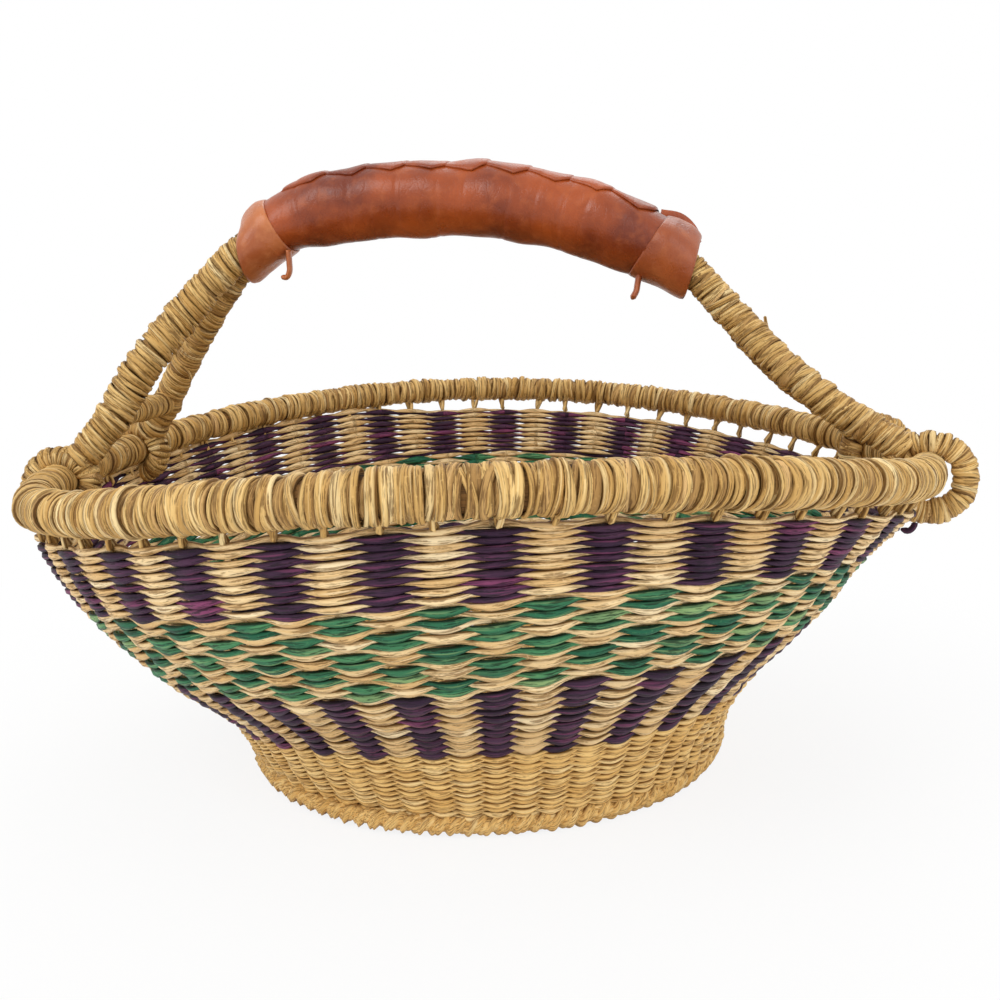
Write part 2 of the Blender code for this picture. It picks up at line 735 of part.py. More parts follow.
def handle(parts, cutters, straw, natural, leather, collar_leather):
    """Everything that tilts, hung from an empty on the hinge line through the loops."""
    hinge = place(parts, "handle_hinge", None)
    hinge.location = (0.0, HANDLE_Y, hinge_height())
    bpy.context.view_layer.update()
    for which, word in ((FRONT, "front"), (BACK, "back")):
        cane(parts, f"{word}_cane", which, natural, hinge)
        for side, hand in ((LEFT, "left"), (RIGHT, "right")):
            rim_loop(parts, f"{hand}_{word}_loop", side, which, straw, hinge)
            leg(parts, cutters, f"{hand}_{word}_leg", side, which, straw, hinge)
    crossbar(parts, cutters, "left_crossbar", LEFT, straw, hinge)
    crossbar(parts, cutters, "right_crossbar", RIGHT, straw, hinge)
    grip_core(parts, cutters, natural, hinge)
    grip_sleeve(parts, leather, hinge)
    collar(parts, "left_collar", LEFT, collar_leather, hinge)
    collar(parts, "right_collar", RIGHT, collar_leather, hinge)
    lacing(parts, leather, hinge)
    near = COLLAR_LENGTH / 8
    tab(parts, "left_tab", GRIP_LEFT + near, 0.0, collar_leather, hinge)
    tab(parts, "right_tab", GRIP_RIGHT - 3 * near, 0.0, collar_leather, hinge)
    tab(parts, "back_tab", GRIP_RIGHT + near, BACK_TAB_TURN, collar_leather, hinge)


def build():
    parts, cutters = fresh_scene()
    straw = finish("bound straw", STRAW, 0.6)
    natural = finish("natural grass", NATURAL, 0.65)
    purple = finish("purple grass", PURPLE, 0.6)
    green = finish("green grass", GREEN, 0.6)
    leather = finish("tan leather", TAN, 0.4)
    collar_leather = finish("collar leather", COLLAR_TAN, 0.4)
    foot_braid(parts, natural)
    base_weave(parts, natural)
    woven_wall(parts, cutters, natural, purple, green)
    stakes(parts, cutters, natural)
    rim_binding(parts, cutters, straw)
    handle(parts, cutters, straw, natural, leather, collar_leather)


build()
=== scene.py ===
"""Looks of the round woven grass basket: twined strands, wound bindings and a leather grip.

Every surface is worked out with numpy on a grid in the row frame, in metres, and rides on the
body whose solid it stands for.
"""

import math
from typing import NamedTuple

import bpy
import numpy as np
from mathutils import Matrix, Vector
from numpy.random import default_rng


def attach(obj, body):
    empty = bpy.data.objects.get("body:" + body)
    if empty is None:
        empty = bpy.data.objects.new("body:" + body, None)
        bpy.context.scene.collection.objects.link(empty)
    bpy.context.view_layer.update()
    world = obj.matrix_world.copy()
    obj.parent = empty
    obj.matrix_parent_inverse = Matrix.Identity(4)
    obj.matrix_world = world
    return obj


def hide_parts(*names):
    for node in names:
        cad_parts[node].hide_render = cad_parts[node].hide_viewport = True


TAU = math.tau

# The solids' own sizes
RIM_OUTER_RADIUS = 0.1975
RIM_HEIGHT = 0.1525
END_DROP = 0.0262
BACK_DROP = 0.0100
DIP_TURN = math.radians(11.0)
RIM_FRONT_THICKNESS = 0.0174
RIM_END_THICKNESS = 0.0154
RIM_BACK_THICKNESS = 0.0128
OPEN_ROW = 0.0130
STAKES = 64
ROW_HEIGHT_SHARES = (0.0, 0.066, 0.155, 0.2725, 0.4975, 0.755, 0.9325, 1.0)
ROW_RADIUS_SHARES = (0.540, 0.556, 0.594, 0.641, 0.806, 0.935, 0.971, 1.0)
LEFT_DROP_SHARES = (0.0, 0.0, 0.26, 0.50, 0.88, 1.06, 1.04, 1.0)
RIGHT_DROP_SHARES = (0.0, 0.0, -0.08, -0.14, -0.06, 0.72, 0.90, 1.0)
LEFT_PULL_SHARES = (0.0, 0.0, -0.031, -0.043, -0.047, -0.006, 0.030, 0.004)
RIGHT_PULL_SHARES = (0.0, 0.0, -0.040, -0.008, -0.025, -0.072, 0.030, 0.004)
BRAID_MIDDLE_RADIUS = 0.1050
BRAID_THICKNESS = 0.0080
BASE_THICKNESS = 0.0045
BASE_CROWN = 0.0040
BASE_RADIUS = 0.1020
HANDLE_Y = 0.0182
HANDLE_HALF_SPAN = 0.1705
HANDLE_HEIGHT = 0.2462
LEG_THICKNESS = 0.0137
LEG_SPREAD = 0.0369
LEG_STAGGER = 0.0035
CROSSBAR_THICKNESS = 0.0105
LOOP_THICKNESS = 0.0104
LOOP_FREE_WIDTHS = (0.0004, 0.0004, 0.0040, 0.0010)
LOOP_LIFT = 0.0014
LOOP_STAKES_OFF = (-1, 3)
GRIP_THICKNESS = 0.0322
GRIP_LEFT = -0.0960
GRIP_RIGHT = 0.0850
COLLAR_LENGTH = 0.024
ARCH_X_SHARES = (-1.0, -0.878, -0.751, -0.622, -0.536, -0.422, -0.260, -0.100,
                 0.057, 0.213, 0.368, 0.521, 0.660, 0.771, 0.890, 1.0)
ARCH_HEIGHT_SHARES = (0.140, 0.399, 0.634, 0.838, 0.928, 0.978, 0.997, 1.0,
                      0.982, 0.936, 0.866, 0.756, 0.552, 0.384, 0.243, 0.147)
ARCH_SPREAD_SHARES = (0.86, 0.60, 0.33, 0.200, 0.190, 0.190, 0.190, 0.190,
                      0.190, 0.190, 0.190, 0.190, 0.30, 0.55, 0.76, 0.90)

# Where the colours of the wall change, as height shares at turns round the basket in degrees
BORDER_TURNS = (-180, -140, -120, -100, -85, -70, -45, -20, 40, 90, 140, 180)
FOOT_TOP_SHARES = (0.250, 0.250, 0.262, 0.265, 0.267, 0.268, 0.262, 0.262,
                   0.262, 0.262, 0.262, 0.250)
STRIPE_TOP_SHARES = (0.505, 0.505, 0.500, 0.498, 0.507, 0.537, 0.522, 0.500,
                     0.500, 0.500, 0.500, 0.505)
CHECKER_TOP_SHARES = (0.745, 0.745, 0.740, 0.739, 0.753, 0.768, 0.770, 0.765,
                      0.755, 0.750, 0.745, 0.745)
WEAVE_START_SHARE = 0.046

# At the back left the rows nearly fill the open row: between which turns in degrees, over how
# many degrees they rise there and sink again, and the share of the open row that they fill
FILLED_TURNS = (106.0, 178.0)
FILLED_EASE = (12.0, 10.0)
FILLED_SHARE = 0.42

# Twined rows: counts, points per stake, and points round a strand
FOOT_ROWS = 13
STRIPE_ROWS = 9
CHECKER_ROWS = 10
UPPER_ROWS = 9
STEPS_PER_STAKE = 8
STRAND_SIDES = 6

# How far the strands stand out of the wall or the base, and swing out and in at the stakes
WALL_PROUD = 0.0007
WALL_SWING = 0.0014
BASE_PROUD = 0.0003
BASE_SWING = 0.0013

# A twined strand, in shares of its row's height: how far it lies off the row's middle, its
# half height between the stakes and how much that grows at them, and its rise as it swings
STRAND_OFFSET = 0.23
STRAND_HALF_HEIGHT = 0.25
STRAND_GROWTH = 0.28
STRAND_RISE = 0.05
# Its half thickness in metres, how much that grows at the stakes, and how it wanders: in
# height, way out, fatness and tilt. A new stalk starts at a stake by chance
STRAND_HALF_THICKNESS = 0.00098
STRAND_THICKENING = 0.25
HEIGHT_WANDER = 0.05
PUSH_WANDER = 0.00018
FATNESS_WANDER = 0.09
TILT_WANDER = 0.12
SPLICE_CHANCE = 0.65

# Rings of the twined base: name, inner and outer radius, rows, stakes, and points per stake
BASE_RINGS = (
    ("base_outer_strands", 0.0600, 0.1045, 12, 64, 6),
    ("base_middle_strands", 0.0290, 0.0600, 8, 32, 8),
    ("base_inner_strands", 0.0012, 0.0290, 7, 16, 10),
)

# The foot border: how often its cords and its stalks turn round each other, points per stake,
# its height, how far its cords and stalks lie from their middles, how these wander, and where
# the ring bulges: turn and width in degrees, and reach
BORDER_LAYS = 52
BORDER_TWISTS = 91
BORDER_STEPS = 20
BORDER_HEIGHT = 0.0050
CORD_REACH = 0.0013
CORD_WANDER = 0.0002
STALK_REACH = 0.0007
STALK_RADIUS = 0.0029
STALK_WANDER = 0.06
BORDER_SHADES = 0.25
BORDER_BULGES = ((-112, 30, 0.0022), (-12, 34, -0.0016), (-160, 22, -0.0012))

# Posts of the open row: how far they start inside the weave as a height share, how far they
# end below the rim's middle as a share of its radius, their stalks' radius, lean, least
# spread and chance of more, least and most turn in halves, where and how steeply they narrow
# below, and to which shares of their spread and radius
POST_ROOT = 0.045
POST_HEAD = 0.6
POST_RADIUS = 0.0012
POST_LEAN = 0.0012
POST_SPREAD = (0.00085, 0.0005)
POST_TWISTS = (0.7, 1.3)
POST_STEPS = 13
POST_TAPER_START = 0.40
POST_TAPER_SLOPE = 10
POST_LEAST_SPREAD = 0.15
POST_LEAST_RADIUS = 0.3

# Shallow creases of the sleeve: place on X, slope round the grip, width, depth, and heading
SLEEVE_CREASES = (
    (-0.078, 0.0020, 0.0011, 0.00035, -1.2), (-0.058, -0.0015, 0.0009, 0.00028, -1.6),
    (-0.047, 0.0010, 0.0012, 0.00030, -2.2), (-0.033, 0.0022, 0.0009, 0.00026, -1.3),
    (-0.018, -0.0010, 0.0010, 0.00030, -2.4), (-0.004, 0.0018, 0.0012, 0.00028, -1.5),
    (0.012, -0.0020, 0.0010, 0.00030, -2.2), (0.028, 0.0030, 0.0012, 0.00034, -1.4),
    (0.041, 0.0045, 0.0011, 0.00038, -1.7), (0.052, 0.0060, 0.0012, 0.00036, -1.4),
    (-0.064, 0.0010, 0.0012, 0.00030, 1.5), (-0.022, -0.0020, 0.0011, 0.00030, 1.8),
    (0.018, 0.0025, 0.0012, 0.00032, 1.4), (0.048, -0.0030, 0.0012, 0.00034, 1.9),
)

# Half the sleeve's height at its ends, as shares of the whole, at steps of half a collar
GRIP_RISE_PLACES = (-3.0, -2.0, -1.0, 0.0, 1.0)
LEFT_RISE_SHARES = (1.0, 0.95, 0.87, 0.78, 0.62)
RIGHT_RISE_SHARES = (1.0, 0.98, 0.93, 0.85, 0.68)

# The grip hangs a little lower at its ends: how much, from which place on X, over what length
LEFT_GRIP_SAG = (0.0014, -0.050, 0.03)
RIGHT_GRIP_SAG = (0.0009, 0.045, 0.03)

# Long soft dents of the sleeve: depth, waves along X in radians per metre, waves round, start
SLEEVE_DENTS = ((0.00030, 263.0, 2.0, 2.1), (0.00034, 61.0, 3.0, 0.8))
# One more, bent round the grip: depth, waves along X, how far it bends, and where that starts
BENT_DENT_DEPTH = 0.00042
BENT_DENT_WAVE = 148.0
BENT_DENT_BEND = 1.7
BENT_DENT_START = 0.6
# How far round the grip a crease fades, the step for the grip line's slope, and the sleeve's
# points round and along
CREASE_SPREAD = 0.7
GRIP_SLOPE_STEP = 1 / 41
SLEEVE_SIDES = 96
SLEEVE_STEPS = 300

# The lace: its gap to the collars' middles, its lozenges, how far round the grip they reach,
# their slant along it, their half thickness, how far they run over each other, their height,
# rise and wander over the sleeve, the share over which their ends thin out, and their half
# width, as a share, at start, widest place and end
LACE_CLEARANCE = 0.001
LACE_SCALLOPS = 9
LACE_STEPS = 26
LACE_SIDES = 20
LACE_HALF_TURN = math.radians(38.0)
LACE_SLANT = 0.0016
LACE_THICKNESS = 0.00105
LACE_OVERLAP = 1.10
LACE_PROUD = 0.00035
LACE_RISE = 0.0003
LACE_WANDER = 0.00008
LACE_TAPER = 0.12
LACE_WIDEST = 0.45
LACE_HALF_WIDTHS = (0.52, 1.0, 0.50)

# Each collar's near and far end on X, and how far each leans at the top
COLLAR_ENDS = ((-0.0910, -0.1074, -0.0007, 0.0058), (0.0746, 0.0939, 0.0023, -0.0041))
# Its steps along outside and inside, its thickness, the shares of its length from which it
# rounds over and over which it rises from the sleeve, how thick it starts as a share, and the
# two waves of its leather: height, waves round, and start or waves along X
COLLAR_STEPS = (34, 12)
COLLAR_THICKNESS = 0.0020
COLLAR_ROUND_FROM = 0.62
COLLAR_FLARE = 0.30
COLLAR_EDGE = 0.25
COLLAR_WAVE = (0.0003, 5, 1.0)
COLLAR_RIPPLE = (0.00025, 3, 300.0)

# A loose strip: its points along and round, the share over which its end narrows, and how
# narrow it gets
STRIP_STEPS = 24
STRIP_SIDES = 12
STRIP_TAPER = 0.08
STRIP_TIP = 0.15

# The lengths that the UV maps of the small pieces run over
POST_GRAIN = 0.02
SLEEVE_GRAIN = 0.2
LACE_GRAIN = 0.02
COLLAR_GRAIN = 0.05
STRIP_GRAIN = 0.012

# Loops: how far they hang lower or are drawn in, their gap to the rim, and their steps. The
# edge between a loop's halves is a sine steepened this many times
LEFT_LOOP_DROP = 0.0026
LEFT_LOOP_DRAW = 0.0008
RIGHT_LOOP_DROP = 0.0034
LOOP_GAP = 0.0003
LOOP_STEPS = 96
LOOP_HALF_EDGE = 3

# Legs: where on its loop a leg starts, which share of the arch it leaves free there, how far
# it runs into the collar, and how far it bows, swells or sags
LEG_JOIN_TURN = math.radians(128.25)
LEG_END_SHARE = 0.02
LEG_INTO_COLLAR = 0.003
LEG_STEPS = 60
FRONT_LEG_BOW = 0.0024
FRONT_LEG_SWELL = 0.0016
RIGHT_LEG_SAG = 0.0018
BOW_WAY = np.array((-0.75, 0.0, 0.66))
BOW_BIAS = 0.75


class Band(NamedTuple):
    """A band of the wall: its solid, its lower strands' name, finish and slot, its upper
    strands' name and finish, its borders below and above, which stakes each row passes
    outside, and how far its rows sag at the stakes."""

    node: str
    lower_name: str
    lower_finish: str
    lower_slot: str
    upper_name: str
    upper_finish: str
    low: object
    high: object
    leads: list
    sag: float


class Winding(NamedTuple):
    """How a strand is wound: metres along the line per turn, lean along the line, points a
    turn, unevenness, half thickness, and where in a turn its shade changes."""

    pitch: float
    lean: float = 0.0
    steps: int = 18
    rough: float = 1.0
    thick: float = 0.0009
    seam: float = 0.5


# The windings, and the steps of the lines and tubes that they go round
RIM_STEPS = 720
TUBE_STEP = 0.004
TUBE_SIDES = 20
RIM_UPPER = Winding(0.0024, 0.0014, 26, 1.6, 0.0011, 0.75)
RIM_LOWER = Winding(0.0031, -0.0010, 22, 1.3, seam=0.75)
LOOP_UPPER = Winding(0.0023)
LOOP_LOWER = Winding(0.0030, steps=16)
LEG_UPPER = Winding(0.0023, 0.0010, 20, 1.1)
LEG_LOWER = Winding(0.0031, -0.0006, 18)
TIE_UPPER = Winding(0.0023, rough=1.2)

# A winding's half width in shares of its pitch, with its least and most, how deep its strand
# is pressed in as a share of its half thickness, and over which share of a turn its shade
# changes
WINDING_HALF_WIDTH = 0.64
WINDING_WIDTH_LIMITS = (0.4, 0.85)
WINDING_SEAT = 0.8
WINDING_CHANGE = 0.15

# How a winding wanders: times a turn, and how much. Its place and its width are in shares of
# its pitch, its bulge in metres, its thickness in shares of itself, and its tilt in radians
UNEVEN_PLACE = (2.6, 0.26)
UNEVEN_BULGE = (2.0, 0.00030)
UNEVEN_WIDTH = (1.3, 0.12)
UNEVEN_THICKNESS = (1.5, 0.12)
UNEVEN_TILT = (1.8, 0.22)

# How deep below the upper winding the lower one and the filling lie
RIM_DEPTHS = (0.0007, 0.0016)
ROD_DEPTHS = (0.0004, 0.0013)
TIE_FILLING_DEPTH = 0.0012

# A tie starts and ends this share of the way between the legs' middles inside them
TIE_INSET = 0.06
TIE_STEPS = 30

# The camera and the light. Lamps have a place, a size and watts. The floor's own white grows
# from a share to the whole between two distances from the middle
CAMERA_PLACE = (0.0727, -0.5753, 0.2259)
CAMERA_WAY = (-0.11, 0.975, -0.192)
CAMERA_ROLL = math.radians(1.48)
CAMERA_LENS = 46.98
CAMERA_SENSOR = 36.0
LAMPS = (("key lamp", (-1.1, -1.5, 1.9), 1.4, 23.0), ("fill lamp", (1.5, -1.2, 1.1), 1.6, 9.0),
         ("back lamp", (0.2, 1.6, 1.8), 1.4, 9.0))
LAMP_AIM = (0.0, 0.0, 0.1)
WORLD_LIGHT = 0.76
FLOOR_RADIUS = 6.0
FLOOR_SIDES = 48
FLOOR_FADE = (0.16, 0.46, 0.86, 1.0)

LEFT, RIGHT = 0, 1
FRONT, BACK = -1, 1
UP = np.array((0.0, 0.0, 1.0))
ACROSS = np.array((0.0, 1.0, 0.0))


def smooth_through(places, values, at):
    """Cubic pieces through placed values, with the central difference as slope at each."""
    places, values, at = (np.asarray(x, float) for x in (places, values, at))
    slopes = np.gradient(values, places)
    left = np.clip(np.searchsorted(places, at, side="right") - 1, 0, len(places) - 2)
    width = places[left + 1] - places[left]
    t = (at - places[left]) / width
    return (
        (2 * t**3 - 3 * t**2 + 1) * values[left]
        + (t**3 - 2 * t**2 + t) * width * slopes[left]
        + (3 * t**2 - 2 * t**3) * values[left + 1]
        + (t**3 - t**2) * width * slopes[left + 1]
    )


def unit(vectors):
    """Vectors divided by their lengths."""
    return vectors / np.linalg.norm(vectors, axis=-1, keepdims=True)


def stake_angle(index):
    """Stakes stand half a step off the X axis."""
    return (np.asarray(index, float) + 0.5) * TAU / STAKES


def rim_radius(angle):
    """Half the rim's thickness: the ends' value, moved to the front's or the back's by the
    square of the sine."""
    side = np.sin(angle)
    far = np.where(side < 0, RIM_FRONT_THICKNESS, RIM_BACK_THICKNESS)
    return (RIM_END_THICKNESS + (far - RIM_END_THICKNESS) * side**2) / 2


def wall_point(share, angle):
    """The wall's middle surface: a turned bowl whose rows drop and pull outwards at two sides
    by the square of the cosine, and drop a little at the back."""
    share, angle = np.broadcast_arrays(np.asarray(share, float), np.asarray(angle, float))
    across, side = np.cos(angle - DIP_TURN), np.sin(angle - DIP_TURN)

    def row(left_values, right_values):
        return np.where(across < 0, smooth_through(ROW_HEIGHT_SHARES, left_values, share),
                        smooth_through(ROW_HEIGHT_SHARES, right_values, share))

    drops = row(LEFT_DROP_SHARES, RIGHT_DROP_SHARES)
    pulls = row(LEFT_PULL_SHARES, RIGHT_PULL_SHARES)
    inset = RIM_END_THICKNESS / 2
    inset = inset + (rim_radius(angle) - inset) * share
    radius = RIM_OUTER_RADIUS - inset
    radius = radius * smooth_through(ROW_HEIGHT_SHARES, ROW_RADIUS_SHARES, share)
    radius = radius * (1 + pulls * across**2)
    height = RIM_HEIGHT * share - END_DROP * drops * across**2
    height = height - BACK_DROP * share * np.maximum(0.0, side) ** 2
    return np.stack([radius * np.cos(angle), radius * np.sin(angle), height], axis=-1)


def wall_frame(share, angle):
    """The wall's middle, its way out, its way up, and the metres of wall per unit of share,
    from central differences."""
    step = 0.01
    turn = wall_point(share, angle + step) - wall_point(share, angle - step)
    rise = (wall_point(share + step, angle) - wall_point(share - step, angle)) / (2 * step)
    out = unit(np.cross(turn, rise))
    return wall_point(share, angle), out, unit(rise), np.linalg.norm(rise, axis=-1)


def open_row_share(angle):
    """The height share at which the weave ends, one open row below the rim."""
    last = ROW_HEIGHT_SHARES[-2]
    length = np.linalg.norm(wall_point(1.0, angle) - wall_point(last, angle), axis=-1)
    return 1.0 - (1.0 - last) * OPEN_ROW / length


def half_turned(angle):
    """An angle brought between minus and plus half a turn."""
    return (angle + math.pi) % TAU - math.pi


def weave_top_share(angle):
    """Where the twined rows end: the open row, which the rows nearly fill at the back left."""
    turned = np.degrees(half_turned(angle))
    fill = np.clip((turned - FILLED_TURNS[0]) / FILLED_EASE[0], 0.0, 1.0) \
        * np.clip((FILLED_TURNS[1] - turned) / FILLED_EASE[1], 0.0, 1.0)
    end = open_row_share(angle)
    return end + (1.0 - end) * FILLED_SHARE * fill


def border(shares, angle):
    """A colour border's height share at an angle, on straight lines between its turns."""
    return np.interp(half_turned(angle), np.radians(BORDER_TURNS), shares)


def wander(random, count, period, amount, rows=()):
    """Smooth closed noise: one random value every period points, joined by cosine steps."""
    knots = max(3, round(count / period))
    values = random.normal(0.0, amount, (*rows, knots))
    place = np.arange(count) * knots / count
    left = place.astype(int) % knots
    blend = (1 - np.cos(math.pi * (place - place.astype(int)))) / 2
    return values[..., left] * (1 - blend) + values[..., (left + 1) % knots] * blend


def tube_grid(strands, along, sides, closed):
    """The corner indices, and the shares along and round, of the quads of many equal tubes."""
    last = along if closed else along - 1
    tube, step, side = np.meshgrid(np.arange(strands), np.arange(last), np.arange(sides),
                                   indexing="ij")
    steps = np.stack([step, step + 1, step + 1, step], axis=-1)
    turns = np.stack([side, side, side + 1, side + 1], axis=-1)
    corners = (tube[..., None] * along + steps % along) * sides + turns % sides
    return corners.reshape(-1, 4), steps.reshape(-1, 4), turns.reshape(-1, 4)


def put_mesh(name, points, faces, along=None, across=None, caps=(), point_values=()):
    """A smooth mesh object from whole arrays, with the lengths along and across as its UV map."""
    mesh = bpy.data.meshes.new(name)
    flat = points.reshape(-1, 3).astype(np.float32)
    loops = np.concatenate([faces.ravel(), *[np.ravel(cap) for cap in caps]])
    sizes = np.concatenate([np.full(len(faces), faces.shape[1]),
                            *[np.full(len(cap), cap.shape[1]) for cap in caps]]).astype(int)
    mesh.vertices.add(len(flat))
    mesh.vertices.foreach_set("co", flat.ravel())
    mesh.loops.add(len(loops))
    mesh.loops.foreach_set("vertex_index", loops.astype(np.int32))
    mesh.polygons.add(len(sizes))
    mesh.polygons.foreach_set("loop_start", (np.cumsum(sizes) - sizes).astype(np.int32))
    if along is not None:
        uv = np.zeros((len(loops), 2), np.float32)
        uv[: along.size, 0] = along.ravel()
        uv[: along.size, 1] = across.ravel()
        mesh.uv_layers.new(name="UVMap").data.foreach_set("uv", uv.ravel())
    for key, values in point_values:
        store = mesh.attributes.new(key, "FLOAT", "POINT")
        store.data.foreach_set("value", np.ravel(values).astype(np.float32))
    mesh.update(calc_edges=True)
    mesh.validate()
    mesh.shade_smooth()
    made = bpy.data.objects.new(name, mesh)
    bpy.context.scene.collection.objects.link(made)
    return made


def finish_piece(piece, material, body, slot, *nodes):
    """Gives a piece its material and its body, and hides the solids it stands for. Its slot
    is not used.
    """
    piece.data.materials.append(material)
    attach(piece, body)
    if nodes:
        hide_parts(*nodes)


def strands_mesh(name, points, lengths, closed, tints):
    """Many strands as one mesh. Points are strands by steps by sides, tints strands by steps,
    and lengths what each strand's UV map runs over. Each point keeps its tint, and as facing
    the cosine of its turn round the strand's section, from which the grass finish paints
    shade at the strand's edges."""
    strands, along, sides, _ = points.shape
    faces, steps, turns = tube_grid(strands, along, sides, closed)
    rows = np.repeat(np.arange(strands), len(faces) // strands)
    spread = np.linalg.norm(points - np.roll(points, 1, axis=2), axis=-1).sum(-1).mean()
    caps = []
    if not closed:
        first = np.arange(strands)[:, None] * along * sides + np.arange(sides)
        caps = [first, first[:, ::-1] + (along - 1) * sides]
    facing = np.broadcast_to(np.cos(np.arange(sides) * TAU / sides), points.shape[:-1])
    return put_mesh(name, points, faces, steps * lengths[rows, None] / along,
                    turns * spread / sides, caps,
                    [("tint", np.repeat(tints[..., None], sides, axis=2)),
                     ("facing", facing)])


def ring_round(middle, first, second, half_first, half_second, sides, tilt=0.0):
    """Rings of an elliptical section round each middle: its half sizes along two ways, turned
    by a tilt. The ring runs from the first way towards the second."""
    turn = np.arange(sides) * TAU / sides
    cos, sin = np.cos(turn), np.sin(turn)
    a = half_first[..., None] * cos
    b = half_second[..., None] * sin
    tilt = np.broadcast_to(np.asarray(tilt, float), middle.shape[:-1])[..., None]
    a, b = a * np.cos(tilt) - b * np.sin(tilt), a * np.sin(tilt) + b * np.cos(tilt)
    return middle[..., None, :] + first[..., None, :] * a[..., None] \
        + second[..., None, :] * b[..., None]


def twined_strands(middle, out, up, pitch, travel, leads, sag, random, swing_out):
    """Strands of twined rows as points, lengths and tints.

    Each passes outside every other stake. Its way out follows the cosine of its travel from
    stake to stake, its height grows towards each stake and halves between them, and its middle
    sags at each stake. Travel counts stakes. Leads are the parities of the stakes that each
    row passes outside. A tint is one shade from stalk to stalk.
    """
    rows, count = middle.shape[:2]
    stakes = int(travel[-1]) + 1
    per_stake = count / stakes
    phase = np.asarray(leads, float)[:, None]
    cross = np.cos(math.pi * (travel[None, :] - phase))
    swing = np.sin(math.pi * (travel[None, :] - phase))
    near = np.abs(cross)
    rise = wander(random, count, per_stake / 1.5, HEIGHT_WANDER, (rows,)) - sag * near**2 \
        + STRAND_RISE * swing
    push = wander(random, count, per_stake, PUSH_WANDER, (rows,))
    fat = 1 + wander(random, count, per_stake, FATNESS_WANDER, (rows,))
    middle = middle + out * (swing_out * cross + push)[..., None]
    middle = middle + up * (rise * pitch)[..., None]
    half_up = pitch * (STRAND_HALF_HEIGHT + STRAND_GROWTH * near) * fat
    half_out = STRAND_HALF_THICKNESS * (1 + STRAND_THICKENING * near) * fat
    tilt = wander(random, count, per_stake, TILT_WANDER, (rows,))
    points = ring_round(middle, out, up, half_out, half_up, STRAND_SIDES, tilt)
    lengths = np.linalg.norm(middle - np.roll(middle, 1, axis=1), axis=-1).sum(1)
    splices = np.cumsum(random.random((rows, stakes)) < SPLICE_CHANCE, axis=1)
    shade = np.take_along_axis(random.random((rows, stakes + 1)), splices, axis=1)
    lens = np.floor((travel[None, :] - phase + 1) / 2).astype(int) % stakes
    tints = np.take_along_axis(shade, np.broadcast_to(lens, (rows, count)), axis=1)
    return points, lengths, tints


def wall_twining(name, band, leads, upper, random, material, slot):
    """One colour of a band of the wall. Upper is 1 for the strands in the upper half of each
    row and -1 for those in the lower half."""
    rows = len(leads)
    travel = np.arange(STAKES * STEPS_PER_STAKE) / STEPS_PER_STAKE
    angle = stake_angle(travel)[None, :]
    row_share = (band.high(angle) - band.low(angle)) / rows
    share = band.low(angle) + row_share * (np.arange(rows)[:, None] + 0.5 + STRAND_OFFSET * upper)
    middle, out, up, reach = wall_frame(share, angle)
    middle = middle + out * WALL_PROUD
    points, lengths, tints = twined_strands(middle, out, up, row_share * reach, travel, leads,
                                            band.sag, random, WALL_SWING)
    piece = strands_mesh(name, points, lengths, True, tints)
    finish_piece(piece, material, "basket", slot, band.node)


def base_twining(name, inner, outer, rows, stakes, steps, random, material):
    """Rings of the twined base between two radii: the same strands laid flat on its crown."""
    travel = np.arange(stakes * steps) / steps
    angle = (travel * TAU / stakes)[None, None, :]
    pitch = (outer - inner) / rows
    upper = np.array((-1.0, 1.0))[:, None, None]
    radius = inner + pitch * (np.arange(rows)[None, :, None] + 0.5 + STRAND_OFFSET * upper)
    radius, angle = (x.reshape(-1, x.shape[-1]) for x in np.broadcast_arrays(radius, angle))
    flat = np.stack([np.cos(angle), np.sin(angle), 0 * angle], axis=-1)
    height = BRAID_THICKNESS + BASE_PROUD + BASE_THICKNESS / 2 \
        + BASE_CROWN * (1 - (radius / BASE_RADIUS) ** 2)
    middle = flat * radius[..., None] + UP * height[..., None]
    leads = np.repeat((0, 1), rows)
    points, lengths, tints = twined_strands(
        middle, np.broadcast_to(UP, middle.shape), -flat, np.full(radius.shape, pitch), travel,
        leads, 0.0, random, BASE_SWING)
    piece = strands_mesh(name, points, lengths, True, tints)
    finish_piece(piece, material, "basket", "natural_grass", "base_weave")


def path_frames(line, up):
    """The lengths of a line's points from its start, and two ways across it at each: the first
    square to the line and to up, and the second square to the line and to the first."""
    tangent = unit(np.gradient(line, axis=0))
    first = unit(np.cross(tangent, np.broadcast_to(up, tangent.shape)))
    second = np.cross(first, tangent)
    steps = np.linalg.norm(np.diff(line, axis=0), axis=-1)
    return np.concatenate([[0.0], np.cumsum(steps)]), first, second


def along_line(line, closed, up, places):
    """The point and the two ways across at lengths along a line, between its listed points."""
    if closed:
        line = np.concatenate([line, line[:1]])
    lengths, first, second = path_frames(line, up)
    if closed:
        first[0] = first[-1] = unit(first[0] + first[-1])
        second[0] = second[-1] = unit(second[0] + second[-1])
        places = places % lengths[-1]

    def at(values):
        return np.stack([np.interp(places, lengths, values[:, k]) for k in range(3)], axis=-1)

    return at(line), unit(at(first)), unit(at(second))


def line_length(line, closed):
    """The length of a line through its points."""
    ends = np.concatenate([line, line[:1]]) if closed else line
    return np.linalg.norm(np.diff(ends, axis=0), axis=-1).sum()


